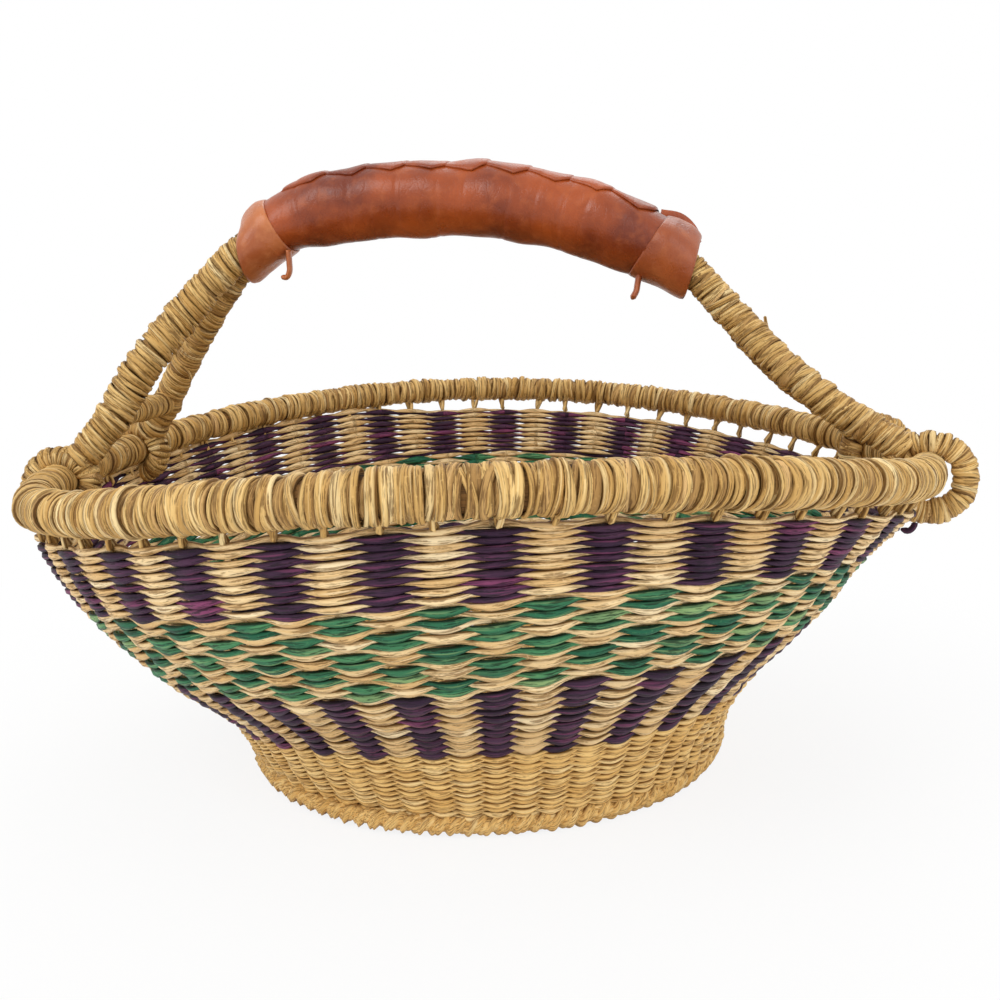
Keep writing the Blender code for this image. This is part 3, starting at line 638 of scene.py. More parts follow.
def wound(name, line, closed, radius, kind, random, body, nodes, material, up=UP):
    """A strand wound round a line: a helix of one pitch a turn, leaning along the line by a
    cosine of its turn, with a flat section whose width, place and tilt wander. Its shade
    changes once a turn, past the seam, which is a share of a turn."""
    length = line_length(line, closed)
    turns = max(3, round(length / kind.pitch))
    pitch = length / turns
    count = turns * kind.steps + (0 if closed else 1)
    turn = np.arange(count) * TAU / kind.steps

    def uneven(times_a_turn, amount):
        return wander(random, count, kind.steps / times_a_turn, amount * kind.rough)

    drift = uneven(*UNEVEN_PLACE) * pitch
    place = pitch * turn / TAU + kind.lean * np.cos(turn) + drift
    if not closed:
        place = np.clip(place, 0.0, length)
    middle, first, second = along_line(line, closed, up, place)
    around = place / length if closed else np.clip(place / length, 0.0, 1.0)
    reach = radius(around) if callable(radius) else np.full(count, radius)
    out = first * np.cos(turn)[:, None] + second * np.sin(turn)[:, None]
    bulge = uneven(*UNEVEN_BULGE)
    half_wide = WINDING_HALF_WIDTH + uneven(*UNEVEN_WIDTH)
    half_wide = pitch * np.clip(half_wide, *WINDING_WIDTH_LIMITS)
    half_thick = kind.thick * (1 + uneven(*UNEVEN_THICKNESS))
    tilt = uneven(*UNEVEN_TILT)
    path = middle + out * (reach - kind.thick * WINDING_SEAT + bulge)[:, None]
    heading = unit(np.gradient(path, axis=0))
    wide = unit(np.cross(out, heading))
    points = ring_round(path[None], out[None], wide[None], half_thick[None], half_wide[None],
                        STRAND_SIDES, tilt[None])
    strand_length = np.linalg.norm(np.diff(path, axis=0), axis=-1).sum()
    past = turn / TAU + 1 - kind.seam
    ease = np.clip((past % 1 - (1 - WINDING_CHANGE)) / WINDING_CHANGE, 0.0, 1.0)
    shades = random.random(turns + 3)
    shade = shades[past.astype(int)] * (1 - ease) + shades[past.astype(int) + 1] * ease
    piece = strands_mesh(name, points, np.array([strand_length]), closed, shade[None])
    finish_piece(piece, material, body, "bound_straw", *nodes)


def plain_tube(name, line, closed, radius, body, material, up=UP):
    """A smooth tube under a winding: a circle carried along a line."""
    length = line_length(line, closed)
    count = max(12, round(length / TUBE_STEP))
    places = np.arange(count) * length / (count if closed else count - 1)
    middle, first, second = along_line(line, closed, up, places)
    reach = radius(places / length) if callable(radius) else np.full(count, radius)
    points = ring_round(middle[None], first[None], second[None], reach[None], reach[None],
                        TUBE_SIDES)
    piece = strands_mesh(name, points, np.array([length]), closed, np.full((1, count), 0.5))
    finish_piece(piece, material, body, "bound_straw")


def rim_line():
    """The rim's middle, at equal steps round the basket."""
    return wall_point(1.0, np.arange(RIM_STEPS) * TAU / RIM_STEPS)


def loop_angle(side, which):
    """The angle of a loop round the basket, halfway between two stakes."""
    off = LOOP_STAKES_OFF[0 if which == FRONT else 1] * TAU / STAKES
    return off if side == RIGHT else math.pi - off


def loop_points(side, which, turn):
    """Points of a loop's middle line: an oval round the rim, with its free width on the
    outside. On the left its upper half sinks and it is drawn in outside. On the right its two
    halves part a little, and all of it hangs lower."""
    angle = loop_angle(side, which)
    out = np.array((math.cos(angle), math.sin(angle), 0.0))
    half_step = math.pi / STAKES
    seat = (wall_point(1.0, angle - half_step) + wall_point(1.0, angle + half_step)) / 2
    spare = LOOP_FREE_WIDTHS[2 * side + (which == BACK)] / 2
    tight = rim_radius(angle) + LOOP_GAP + LOOP_THICKNESS / 2
    half = np.clip(np.sin(turn) * LOOP_HALF_EDGE, -1.0, 1.0)
    if side == LEFT:
        lift = -LEFT_LOOP_DROP * np.maximum(half, 0.0)
        tight = tight - LEFT_LOOP_DRAW * (1 + np.cos(turn)) / 2
    else:
        lift = LOOP_LIFT * half - RIGHT_LOOP_DROP
    return seat + out * (spare + (tight + spare) * np.cos(turn))[:, None] \
        + UP * (tight * np.sin(turn) + lift)[:, None]


def loop_line(side, which):
    """A loop's middle line, at equal turns from beside the outermost place."""
    return loop_points(side, which, (np.arange(LOOP_STEPS) + 0.5) * TAU / LOOP_STEPS)


def arch_points(which, shares):
    """Points on the handle's arch: which is FRONT or BACK for a leg, or 0 for the grip."""
    knots = np.linspace(0.0, 1.0, len(ARCH_X_SHARES))
    low = wall_point(1.0, 0.0)[2]
    spread = smooth_through(knots, ARCH_SPREAD_SHARES, shares)
    x = HANDLE_HALF_SPAN * smooth_through(knots, ARCH_X_SHARES, shares)
    x = x - np.sign(x) * which * LEG_STAGGER * (spread - min(ARCH_SPREAD_SHARES))
    y = HANDLE_Y + which * LEG_SPREAD * spread
    z = low + (HANDLE_HEIGHT - low) * smooth_through(knots, ARCH_HEIGHT_SHARES, shares)
    return np.stack([x, y, z], axis=-1)


def arch_share(x):
    """Where along the arch the handle reaches a place on X."""
    shares = np.linspace(0.0, 1.0, 2001)
    return np.interp(x, arch_points(0, shares)[:, 0], shares)


def bow(share):
    """Half a sine wave from end to end, with its top moved towards the start."""
    return np.sin(math.pi * share**BOW_BIAS)


def leg_line(side, which):
    """A leg's middle line, from its loop to inside the collar."""
    loop = loop_points(side, which, np.array((LEG_JOIN_TURN,)))
    way = np.linspace(0.0, 1.0, LEG_STEPS)
    if side == LEFT:
        shares = np.linspace(LEG_END_SHARE, arch_share(GRIP_LEFT - LEG_INTO_COLLAR), LEG_STEPS)
        line = arch_points(which, shares)
        if which == FRONT:
            line = line + FRONT_LEG_BOW * bow(way)[:, None] * BOW_WAY
        return np.concatenate([loop, line])
    shares = np.linspace(arch_share(GRIP_RIGHT + LEG_INTO_COLLAR), 1 - LEG_END_SHARE, LEG_STEPS)
    sag = RIGHT_LEG_SAG * way**0.5
    return np.concatenate([arch_points(which, shares) - UP * sag[:, None], loop])


def grip_rise(x):
    """Half the sleeve's height at a place along X."""
    past = np.maximum(GRIP_LEFT - x, x - GRIP_RIGHT) / (COLLAR_LENGTH / 2)
    left = np.interp(past, GRIP_RISE_PLACES, LEFT_RISE_SHARES)
    right = np.interp(past, GRIP_RISE_PLACES, RIGHT_RISE_SHARES)
    return GRIP_THICKNESS / 2 * np.where(x < 0, left, right)


def grip_frame(x):
    """The grip's middle line at places along X, and its way up, square to the line."""
    shares = arch_share(x)
    step = GRIP_SLOPE_STEP
    along = unit(arch_points(0, shares + step) - arch_points(0, shares - step))
    left_sag, left_from, left_over = LEFT_GRIP_SAG
    right_sag, right_from, right_over = RIGHT_GRIP_SAG
    sunk = left_sag * np.clip((left_from - x) / left_over, 0.0, 1.0) \
        + right_sag * np.clip((x - right_from) / right_over, 0.0, 1.0)
    middle = arch_points(0, shares) - UP * np.asarray(sunk)[..., None]
    return middle, np.cross(along, ACROSS)


def foot_border(random, material):
    """The twisted ring that the basket stands on: two cords of two stalks each, laid round
    each other, and pressed flat below. The ring bulges by bell curves of its turn."""
    steps = BORDER_STEPS
    count = STAKES * steps
    angle = np.arange(count) * TAU / count
    out = np.stack([np.cos(angle), np.sin(angle), 0 * angle], axis=-1)
    turned = np.degrees(half_turned(angle))
    bulge = sum(reach * np.exp(-((turned - place) / width) ** 2)
                for place, width, reach in BORDER_BULGES)
    middle = out * (BRAID_MIDDLE_RADIUS + bulge)[:, None] + UP * BORDER_HEIGHT

    def turned_way(turn):
        return out * np.cos(turn)[:, None] + UP * np.sin(turn)[:, None]

    strands, halves = [], []
    for cord in range(2):
        to_cord = turned_way(angle * BORDER_LAYS + cord * math.pi)
        for stalk in range(2):
            to_stalk = turned_way(angle * BORDER_TWISTS + stalk * math.pi)
            reach = CORD_REACH + wander(random, count, steps, CORD_WANDER)
            strands.append(middle + to_cord * reach[:, None] + to_stalk * STALK_REACH)
            halves.append(STALK_RADIUS * (1 + wander(random, count, steps, STALK_WANDER)))
    line = np.stack(strands)
    half = np.stack(halves)
    points = ring_round(line, np.broadcast_to(out, line.shape), np.broadcast_to(UP, line.shape),
                        half, half, STRAND_SIDES)
    points[..., 2] = np.maximum(points[..., 2], 0.0)
    lengths = np.linalg.norm(line - np.roll(line, 1, axis=1), axis=-1).sum(1)
    shade = wander(random, count, steps * 3, BORDER_SHADES, (len(strands),)) + 0.5
    piece = strands_mesh("foot_border_cords", points, lengths, True, np.clip(shade, 0, 1))
    finish_piece(piece, material, "basket", "natural_grass", "foot_braid")


def open_row_posts(random, material):
    """The stakes in the open row: two stalks each, half twisted round each other, on straight
    lines from the weave up into the rim, and narrower inside the weave."""
    steps = np.linspace(0.0, 1.0, POST_STEPS)
    angle = stake_angle(np.arange(STAKES))
    foot, out, _, _ = wall_frame(open_row_share(angle) - POST_ROOT, angle)
    head = wall_point(1.0, angle) - UP * (rim_radius(angle) * POST_HEAD)[:, None]
    turn_way = unit(np.cross(out, UP))
    lean = random.normal(0.0, POST_LEAN, STAKES)
    taper = (steps - POST_TAPER_START) * POST_TAPER_SLOPE
    least, more = POST_SPREAD
    strands = []
    for side in (-1, 1):
        twist = math.pi * (steps[None, :] * random.uniform(*POST_TWISTS, STAKES)[:, None])
        spread = (least + random.uniform(0.0, more, STAKES)[:, None]) * side
        spread = spread * np.clip(taper, POST_LEAST_SPREAD, 1.0)
        line = foot[:, None] + (head - foot)[:, None] * steps[None, :, None]
        line = line + turn_way[:, None] * (np.cos(twist) * spread
                                           + lean[:, None] * steps[None, :])[..., None]
        strands.append(line + out[:, None] * (np.sin(twist) * spread)[..., None])
    line = np.concatenate(strands)
    way_out = np.broadcast_to(np.concatenate([out, out])[:, None], line.shape)
    way_round = np.broadcast_to(np.concatenate([turn_way, turn_way])[:, None], line.shape)
    half = POST_RADIUS * np.clip(taper, POST_LEAST_RADIUS, 1.0)
    half = np.broadcast_to(half, line.shape[:2])
    points = ring_round(line, way_out, way_round, half, half, STRAND_SIDES)
    shade = np.repeat(random.random(2 * STAKES)[:, None], POST_STEPS, axis=1)
    piece = strands_mesh("open_row_posts", points, np.full(2 * STAKES, POST_GRAIN), False,
                         shade)
    finish_piece(piece, material, "basket", "natural_grass", "stakes")


def sleeve_surface(x, turn, lift):
    """A point of the leather over the grip: an upright oval across the grip's line, with long
    soft dents as sums of sines of place and turn, and shallow creases round it. Turn is 0 at
    the top and grows towards the back."""
    x, turn, lift = np.broadcast_arrays(x, turn, lift)
    middle, up = grip_frame(x)
    bend = BENT_DENT_BEND * np.sin(turn + BENT_DENT_START)
    dents = BENT_DENT_DEPTH * np.sin(x * BENT_DENT_WAVE + bend) + sum(
        depth * np.sin(x * wave + turn * round_waves + start)
        for depth, wave, round_waves, start in SLEEVE_DENTS)
    creases = sum(
        depth * np.exp(-((x - place - slope * np.sin(turn)) / width) ** 2)
        * np.exp(-((np.cos(turn - heading) - 1) / CREASE_SPREAD) ** 2)
        for place, slope, width, depth, heading in SLEEVE_CREASES)
    relief = lift + dents - creases
    return middle + ACROSS * ((GRIP_THICKNESS / 2 + relief) * np.sin(turn))[..., None] \
        + up * ((grip_rise(x) + relief) * np.cos(turn))[..., None]


def leather_sleeve(material):
    """The grip's leather: the sleeve surface from end to end, closed at both."""
    x = np.linspace(GRIP_LEFT, GRIP_RIGHT, SLEEVE_STEPS)[:, None]
    turn = np.arange(SLEEVE_SIDES)[None, :] * TAU / SLEEVE_SIDES
    points = sleeve_surface(x, turn, 0.0)[None]
    piece = strands_mesh("leather_sleeve", points, np.array([SLEEVE_GRAIN]), False,
                         np.full((1, SLEEVE_STEPS), 0.5))
    finish_piece(piece, material, "handle", "tan_leather", "grip_sleeve")


def lace_scallops(random, material):
    """The flat lace over the top seam: lozenges of leather that bend over the sleeve. Each is
    a flat oval section whose half width runs from a narrow start to its widest place and back."""
    inset = COLLAR_LENGTH / 2 + LACE_CLEARANCE
    ends = np.linspace(GRIP_LEFT + inset, GRIP_RIGHT - inset, LACE_SCALLOPS + 1)
    u = np.linspace(-1.0, 1.0, LACE_STEPS)[None, :, None]
    psi = np.arange(LACE_SIDES)[None, None, :] * TAU / LACE_SIDES
    centre = ((ends[:-1] + ends[1:]) / 2)[:, None, None]
    half = (ends[1] - ends[0]) / 2 * LACE_OVERLAP
    front = np.interp(u, (-1.0, LACE_WIDEST, 1.0), LACE_HALF_WIDTHS)
    back = np.interp(u, (-1.0, -LACE_WIDEST, 1.0), LACE_HALF_WIDTHS[::-1])
    wide = np.where(np.sin(psi) < 0, front, back) * LACE_HALF_TURN
    turn = wide * np.sign(np.sin(psi)) * np.abs(np.sin(psi)) ** 0.7
    taper = np.clip((1 - np.abs(u)) / LACE_TAPER, 0.0, 1.0) ** 0.5
    lift = LACE_THICKNESS * np.sign(np.cos(psi)) * np.abs(np.cos(psi)) ** 0.5 * taper
    lift = lift + LACE_PROUD + LACE_RISE * u
    lift = lift + random.normal(0, LACE_WANDER, (LACE_SCALLOPS, 1, 1))
    x = centre + half * u + LACE_SLANT * turn / LACE_HALF_TURN
    points = sleeve_surface(x, turn, lift)
    piece = strands_mesh("lace_scallops", points, np.full(LACE_SCALLOPS, LACE_GRAIN), False,
                         np.repeat(random.random(LACE_SCALLOPS)[:, None], LACE_STEPS, axis=1))
    finish_piece(piece, material, "handle", "tan_leather", "grip_lacing")


def collar(name, side, material):
    """The leather collar over one end of the grip: a shell carried round the grip, whose
    profile starts on the sleeve, rounds over at its far end, and comes back inside. Each end
    leans along the grip by a cosine of the turn."""
    near, far, near_lean, far_lean = COLLAR_ENDS[side]
    going, coming = COLLAR_STEPS
    share = np.concatenate([np.linspace(0.0, 1.0, going), np.linspace(1.0, 0.0, coming)])
    share = share[:, None]
    outside = np.concatenate([np.ones(going), np.zeros(coming)])[:, None]
    turn = np.arange(SLEEVE_SIDES)[None, :] * TAU / SLEEVE_SIDES * (-1 if side == LEFT else 1)
    x = near + (far - near) * share \
        + (near_lean * (1 - share) + far_lean * share) * np.cos(turn)
    over = np.clip((share - COLLAR_ROUND_FROM) / (1 - COLLAR_ROUND_FROM), 0.0, 1.0)
    rounded = np.sqrt(np.clip(1 - over**2, 0.0, 1.0))
    flare = np.clip(share / COLLAR_FLARE, 0.0, 1.0) ** 0.7
    rounded = rounded * (COLLAR_EDGE + (1 - COLLAR_EDGE) * flare)
    wave, wave_round, wave_start = COLLAR_WAVE
    ripple, ripple_round, ripple_along = COLLAR_RIPPLE
    lift = COLLAR_THICKNESS * rounded + wave * np.sin(turn * wave_round + wave_start) \
        + ripple * np.sin(turn * ripple_round + x * ripple_along)
    points = sleeve_surface(x, turn, lift * outside)[None]
    piece = strands_mesh(name, points, np.array([COLLAR_GRAIN]), True,
                         np.full((1, going + coming), 0.5))
    finish_piece(piece, material, "handle", "collar_leather", name)


def loose_strip(name, line, half_wide, half_thick, wide_way, material, body, slot, *nodes):
    """A small loose end of leather or grass: a flat oval carried along a curling line."""
    line = np.asarray(line, float)
    knots = np.linspace(0.0, 1.0, len(line))
    at = np.linspace(0.0, 1.0, STRIP_STEPS)
    path = np.stack([smooth_through(knots, line[:, k], at) for k in range(3)], axis=-1)
    tangent = unit(np.gradient(path, axis=0))
    wide = np.broadcast_to(wide_way, path.shape)
    wide = unit(wide - tangent * (wide * tangent).sum(-1, keepdims=True))
    thin = np.cross(tangent, wide)
    taper = np.clip((1 - at) / STRIP_TAPER, STRIP_TIP, 1.0) ** 0.5
    points = ring_round(path[None], thin[None], wide[None], (half_thick * taper)[None],
                        (half_wide * taper)[None], STRIP_SIDES)
    piece = strands_mesh(name, points, np.array([STRIP_GRAIN]), False,
                         np.full((1, STRIP_STEPS), 0.5))
    finish_piece(piece, material, body, slot, *nodes)


def sheet_tone(red, green, blue):
    """A colour as a screen shows it, from 0 to 255, as the light that shaders work in."""
    shown = np.array((red, green, blue)) / 255
    light = np.where(shown <= 0.04045, shown / 12.92, ((shown + 0.055) / 1.055) ** 2.4)
    return (*(float(x) for x in light), 1.0)


def new_group(name, inputs, outputs):
    """An empty shader node group with its named sockets."""
    group = bpy.data.node_groups.new(name, "ShaderNodeTree")
    for label, kind, value in inputs:
        socket = group.interface.new_socket(name=label, in_out="INPUT", socket_type=kind)
        socket.default_value = value
    for label, kind in outputs:
        group.interface.new_socket(name=label, in_out="OUTPUT", socket_type=kind)
    return group, group.nodes.new("NodeGroupInput"), group.nodes.new("NodeGroupOutput")


def add_node(tree, kind, values=(), **settings):
    """A node with its settings, and with values for its inputs by name or number."""
    node = tree.nodes.new(kind)
    for key, value in settings.items():
        setattr(node, key, value)
    for key, value in dict(values).items():
        node.inputs[key].default_value = value
    return node


def mix_colour(tree, factor, first, second):
    """A mix of two colours by a factor, each the output of a node. A colour mix takes its
    colours at inputs 6 and 7 and gives the result at output 2."""
    node = add_node(tree, "ShaderNodeMix", data_type="RGBA")
    for key, value in ((0, factor), (6, first), (7, second)):
        tree.links.new(value, node.inputs[key])
    return node.outputs[2]


def map_range(tree, value, low, high, out_low, out_high):
    """A value carried from one range to another, and held inside it."""
    node = add_node(tree, "ShaderNodeMapRange", {1: low, 2: high, 3: out_low, 4: out_high})
    tree.links.new(value, node.inputs[0])
    return node.outputs[0]


def grass_group():
    """Dyed or plain grass: a colour for each strand from its tint, fibres and fine furrows
    along the strand, slow changes and flecks over the object, and painted shade in the
    lines' colour at the edges, where the strand's section turns from its flat."""
    group, given, made = new_group("grass stalk", [
        ("Plain", "NodeSocketColor", (0.8, 0.6, 0.3, 1)),
        ("Deep", "NodeSocketColor", (0.5, 0.3, 0.1, 1)),
        ("Rare", "NodeSocketColor", (0.8, 0.5, 0.3, 1)),
        ("Line", "NodeSocketColor", (0.3, 0.2, 0.1, 1)),
        ("Line strength", "NodeSocketFloat", 0.5),
        ("Least roughness", "NodeSocketFloat", 0.5),
    ], [("Colour", "NodeSocketColor"), ("Roughness", "NodeSocketFloat"),
        ("Height", "NodeSocketFloat")])
    link = group.links.new
    place = group.nodes.new("ShaderNodeTexCoord")
    tint = add_node(group, "ShaderNodeAttribute", attribute_name="tint")
    stretch = add_node(group, "ShaderNodeMapping", {"Scale": (130.0, 1500.0, 1.0)})
    shift = add_node(group, "ShaderNodeCombineXYZ")
    link(map_range(group, tint.outputs["Fac"], 0.0, 1.0, 0.0, 50.0), shift.inputs["Z"])
    link(shift.outputs[0], stretch.inputs["Location"])
    link(place.outputs["UV"], stretch.inputs["Vector"])
    lines = add_node(group, "ShaderNodeTexNoise", {"Scale": 1.0, "Detail": 3.0,
                                                   "Roughness": 0.6})
    link(stretch.outputs[0], lines.inputs["Vector"])
    broad = add_node(group, "ShaderNodeTexNoise", {"Scale": 45.0, "Detail": 2.0})
    link(place.outputs["Object"], broad.inputs["Vector"])
    fleck = add_node(group, "ShaderNodeTexNoise", {"Scale": 900.0, "Detail": 1.0})
    link(place.outputs["Object"], fleck.inputs["Vector"])
    # Facing near 0 is a strand's edge, where shade between strands is painted
    facing = add_node(group, "ShaderNodeAttribute", attribute_name="facing")
    edge_shade_flatness = add_node(group, "ShaderNodeMath", operation="ABSOLUTE")
    link(facing.outputs["Fac"], edge_shade_flatness.inputs[0])
    fibre_place = add_node(group, "ShaderNodeMapping", {"Scale": (35.0, 900.0, 1.0)})
    link(shift.outputs[0], fibre_place.inputs["Location"])
    link(place.outputs["UV"], fibre_place.inputs["Vector"])
    fibres = add_node(group, "ShaderNodeTexNoise", {"Scale": 1.0, "Detail": 1.0})
    link(fibre_place.outputs[0], fibres.inputs["Vector"])
    furrows = add_node(group, "ShaderNodeMath", operation="MULTIPLY")
    link(map_range(group, lines.outputs[0], 0.41, 0.49, 1.0, 0.0), furrows.inputs[0])
    link(given.outputs["Line strength"], furrows.inputs[1])
    body = given.outputs["Plain"]
    for value, low, high, least, most, colour in (
            (tint.outputs["Fac"], 0.05, 0.85, 0.0, 1.00, "Deep"),
            (tint.outputs["Fac"], 0.88, 0.90, 0.0, 0.90, "Rare"),
            (broad.outputs[0], 0.45, 0.68, 0.0, 0.55, "Deep"),
            (fibres.outputs[0], 0.57, 0.66, 0.0, 0.50, "Rare"),
            (fibres.outputs[0], 0.44, 0.36, 0.0, 0.70, "Deep"),
            (furrows.outputs[0], 0.0, 1.0, 0.0, 1.0, "Line"),
            (fleck.outputs[0], 0.62, 0.74, 0.0, 0.35, "Plain"),
            # Painted shade: the Line colour at the strand's edges
            (edge_shade_flatness.outputs[0], 0.15, 0.70, 0.95, 0.0, "Line")):
        body = mix_colour(group, map_range(group, value, low, high, least, most), body,
                          given.outputs[colour])
    link(body, made.inputs["Colour"])
    rough = add_node(group, "ShaderNodeMath", operation="MULTIPLY_ADD")
    link(lines.outputs[0], rough.inputs[0])
    rough.inputs[1].default_value = 0.25
    link(given.outputs["Least roughness"], rough.inputs[2])
    link(rough.outputs[0], made.inputs["Roughness"])
    link(lines.outputs[0], made.inputs["Height"])
    return group


def grass(name, group, plain, deep, rare, line, strength, least_roughness):
    """One grass finish: the group's colour, roughness and height under a plain shader."""
    material = bpy.data.materials.new(name)
    material.use_nodes = True
    tree = material.node_tree
    shader = tree.nodes["Principled BSDF"]
    node = add_node(tree, "ShaderNodeGroup", node_tree=group)
    for key, value in (("Plain", plain), ("Deep", deep), ("Rare", rare), ("Line", line)):
        node.inputs[key].default_value = sheet_tone(*value)
    node.inputs["Line strength"].default_value = strength
    node.inputs["Least roughness"].default_value = least_roughness
    bump = add_node(tree, "ShaderNodeBump", {"Strength": 1.0, "Distance": 0.0006})
    tree.links.new(node.outputs["Height"], bump.inputs["Height"])
    tree.links.new(node.outputs["Colour"], shader.inputs["Base Color"])
    tree.links.new(node.outputs["Roughness"], shader.inputs["Roughness"])
    tree.links.new(bump.outputs[0], shader.inputs["Normal"])
    shader.inputs["Specular IOR Level"].default_value = 0.22
    return material


def leather_group():
    """Polished leather: mottled colour with paler worn patches, creases darkened as painted
    shade, and pores and creases in its relief, from the object's own coordinates."""
    group, given, made = new_group("leather", [
        ("Plain", "NodeSocketColor", (0.4, 0.1, 0.03, 1)),
        ("Deep", "NodeSocketColor", (0.2, 0.05, 0.02, 1)),
        ("Worn", "NodeSocketColor", (0.5, 0.2, 0.1, 1)),
    ], [("Colour", "NodeSocketColor"), ("Roughness", "NodeSocketFloat"),
        ("Height", "NodeSocketFloat")])
    link = group.links.new
    place = group.nodes.new("ShaderNodeTexCoord")
    noises = {}
    for key, scale, detail in (("cloud", 38.0, 3.0), ("mottle", 190.0, 3.0),
                               ("fine", 1100.0, 2.0)):
        noises[key] = add_node(group, "ShaderNodeTexNoise", {"Scale": scale, "Detail": detail})
        link(place.outputs["Object"], noises[key].inputs["Vector"])
    warp = add_node(group, "ShaderNodeVectorMath", operation="MULTIPLY_ADD")
    link(noises["mottle"].outputs[1], warp.inputs[0])
    warp.inputs[1].default_value = (0.004, 0.004, 0.004)
    link(place.outputs["Object"], warp.inputs[2])
    pores = add_node(group, "ShaderNodeTexVoronoi", {"Scale": 850.0}, feature="DISTANCE_TO_EDGE")
    link(warp.outputs[0], pores.inputs["Vector"])
    folds = add_node(group, "ShaderNodeTexVoronoi", {"Scale": 75.0}, feature="DISTANCE_TO_EDGE")
    stretch = add_node(group, "ShaderNodeMapping", {"Scale": (2.2, 0.8, 0.8)})
    link(warp.outputs[0], stretch.inputs["Vector"])
    link(stretch.outputs[0], folds.inputs["Vector"])
    body = mix_colour(group, map_range(group, noises["cloud"].outputs[0], 0.38, 0.66, 0.0, 0.95),
                      given.outputs["Plain"], given.outputs["Deep"])
    body = mix_colour(group, map_range(group, noises["mottle"].outputs[0], 0.50, 0.72, 0.0, 0.30),
                      body, given.outputs["Worn"])
    # Painted shade: darker along the fold network's creases
    body = mix_colour(group, map_range(group, folds.outputs["Distance"], 0.0, 0.04, 0.10, 0.0),
                      body, given.outputs["Deep"])
    link(body, made.inputs["Colour"])
    link(map_range(group, noises["mottle"].outputs[0], 0.3, 0.7, 0.25, 0.42),
         made.inputs["Roughness"])
    relief = add_node(group, "ShaderNodeMath", operation="MULTIPLY_ADD")
    link(map_range(group, folds.outputs["Distance"], 0.0, 0.07, 0.0, 1.0), relief.inputs[0])
    relief.inputs[1].default_value = 0.30
    low = add_node(group, "ShaderNodeMath", operation="MULTIPLY_ADD")
    link(map_range(group, pores.outputs["Distance"], 0.0, 0.25, 0.0, 1.0), low.inputs[0])
    low.inputs[1].default_value = 0.18
    link(noises["mottle"].outputs[0], low.inputs[2])
    link(low.outputs[0], relief.inputs[2])
    link(relief.outputs[0], made.inputs["Height"])
    return group


def leather(name, group, plain, deep, worn):
    """One leather finish with a thin polish."""
    material = bpy.data.materials.new(name)
    material.use_nodes = True
    tree = material.node_tree
    shader = tree.nodes["Principled BSDF"]
    node = add_node(tree, "ShaderNodeGroup", node_tree=group)
    for key, value in (("Plain", plain), ("Deep", deep), ("Worn", worn)):
        node.inputs[key].default_value = sheet_tone(*value)
    bump = add_node(tree, "ShaderNodeBump", {"Strength": 0.45, "Distance": 0.0004})
    tree.links.new(node.outputs["Height"], bump.inputs["Height"])
    tree.links.new(node.outputs["Colour"], shader.inputs["Base Color"])
    tree.links.new(node.outputs["Roughness"], shader.inputs["Roughness"])
    tree.links.new(bump.outputs[0], shader.inputs["Normal"])
    shader.inputs["Specular IOR Level"].default_value = 0.42
    shader.inputs["Coat Weight"].default_value = 0.05
    shader.inputs["Coat Roughness"].default_value = 0.22
    return material


def photograph_camera():
    """The camera at the photograph's place: a level lens turned a little about its axis."""
    way = Vector(CAMERA_WAY).normalized()
    right = way.cross(Vector(UP)).normalized()
    up = right.cross(way)
    cos, sin = math.cos(CAMERA_ROLL), math.sin(CAMERA_ROLL)
    turned_right, turned_up = right * cos - up * sin, right * sin + up * cos
    data = bpy.data.cameras.new("camera")
    data.lens = CAMERA_LENS
    data.sensor_width = CAMERA_SENSOR
    data.clip_start = 0.01
    camera = bpy.data.objects.new("camera", data)
    bpy.context.scene.collection.objects.link(camera)
    place = Matrix((turned_right, turned_up, -way)).transposed().to_4x4()
    place.translation = CAMERA_PLACE
    camera.matrix_world = place
    bpy.context.scene.camera = camera


def area_lamp(name, place, size, power):
    """A square soft lamp that looks at the basket."""
    data = bpy.data.lights.new(name, "AREA")
    data.size = size
    data.energy = power
    lamp = bpy.data.objects.new(name, data)
    bpy.context.scene.collection.objects.link(lamp)
    lamp.location = place
    way = Vector(LAMP_AIM) - Vector(place)
    lamp.rotation_euler = way.to_track_quat("-Z", "Y").to_euler()


def seen_by_eye(tree):
    """1 for rays that show the background itself: from the camera, in gloss and through glass."""
    path = tree.nodes.new("ShaderNodeLightPath")
    total = path.outputs["Is Camera Ray"]
    for key in ("Is Glossy Ray", "Is Transmission Ray"):
        both = add_node(tree, "ShaderNodeMath", operation="MAXIMUM")
        tree.links.new(total, both.inputs[0])
        tree.links.new(path.outputs[key], both.inputs[1])
        total = both.outputs[0]
    return total


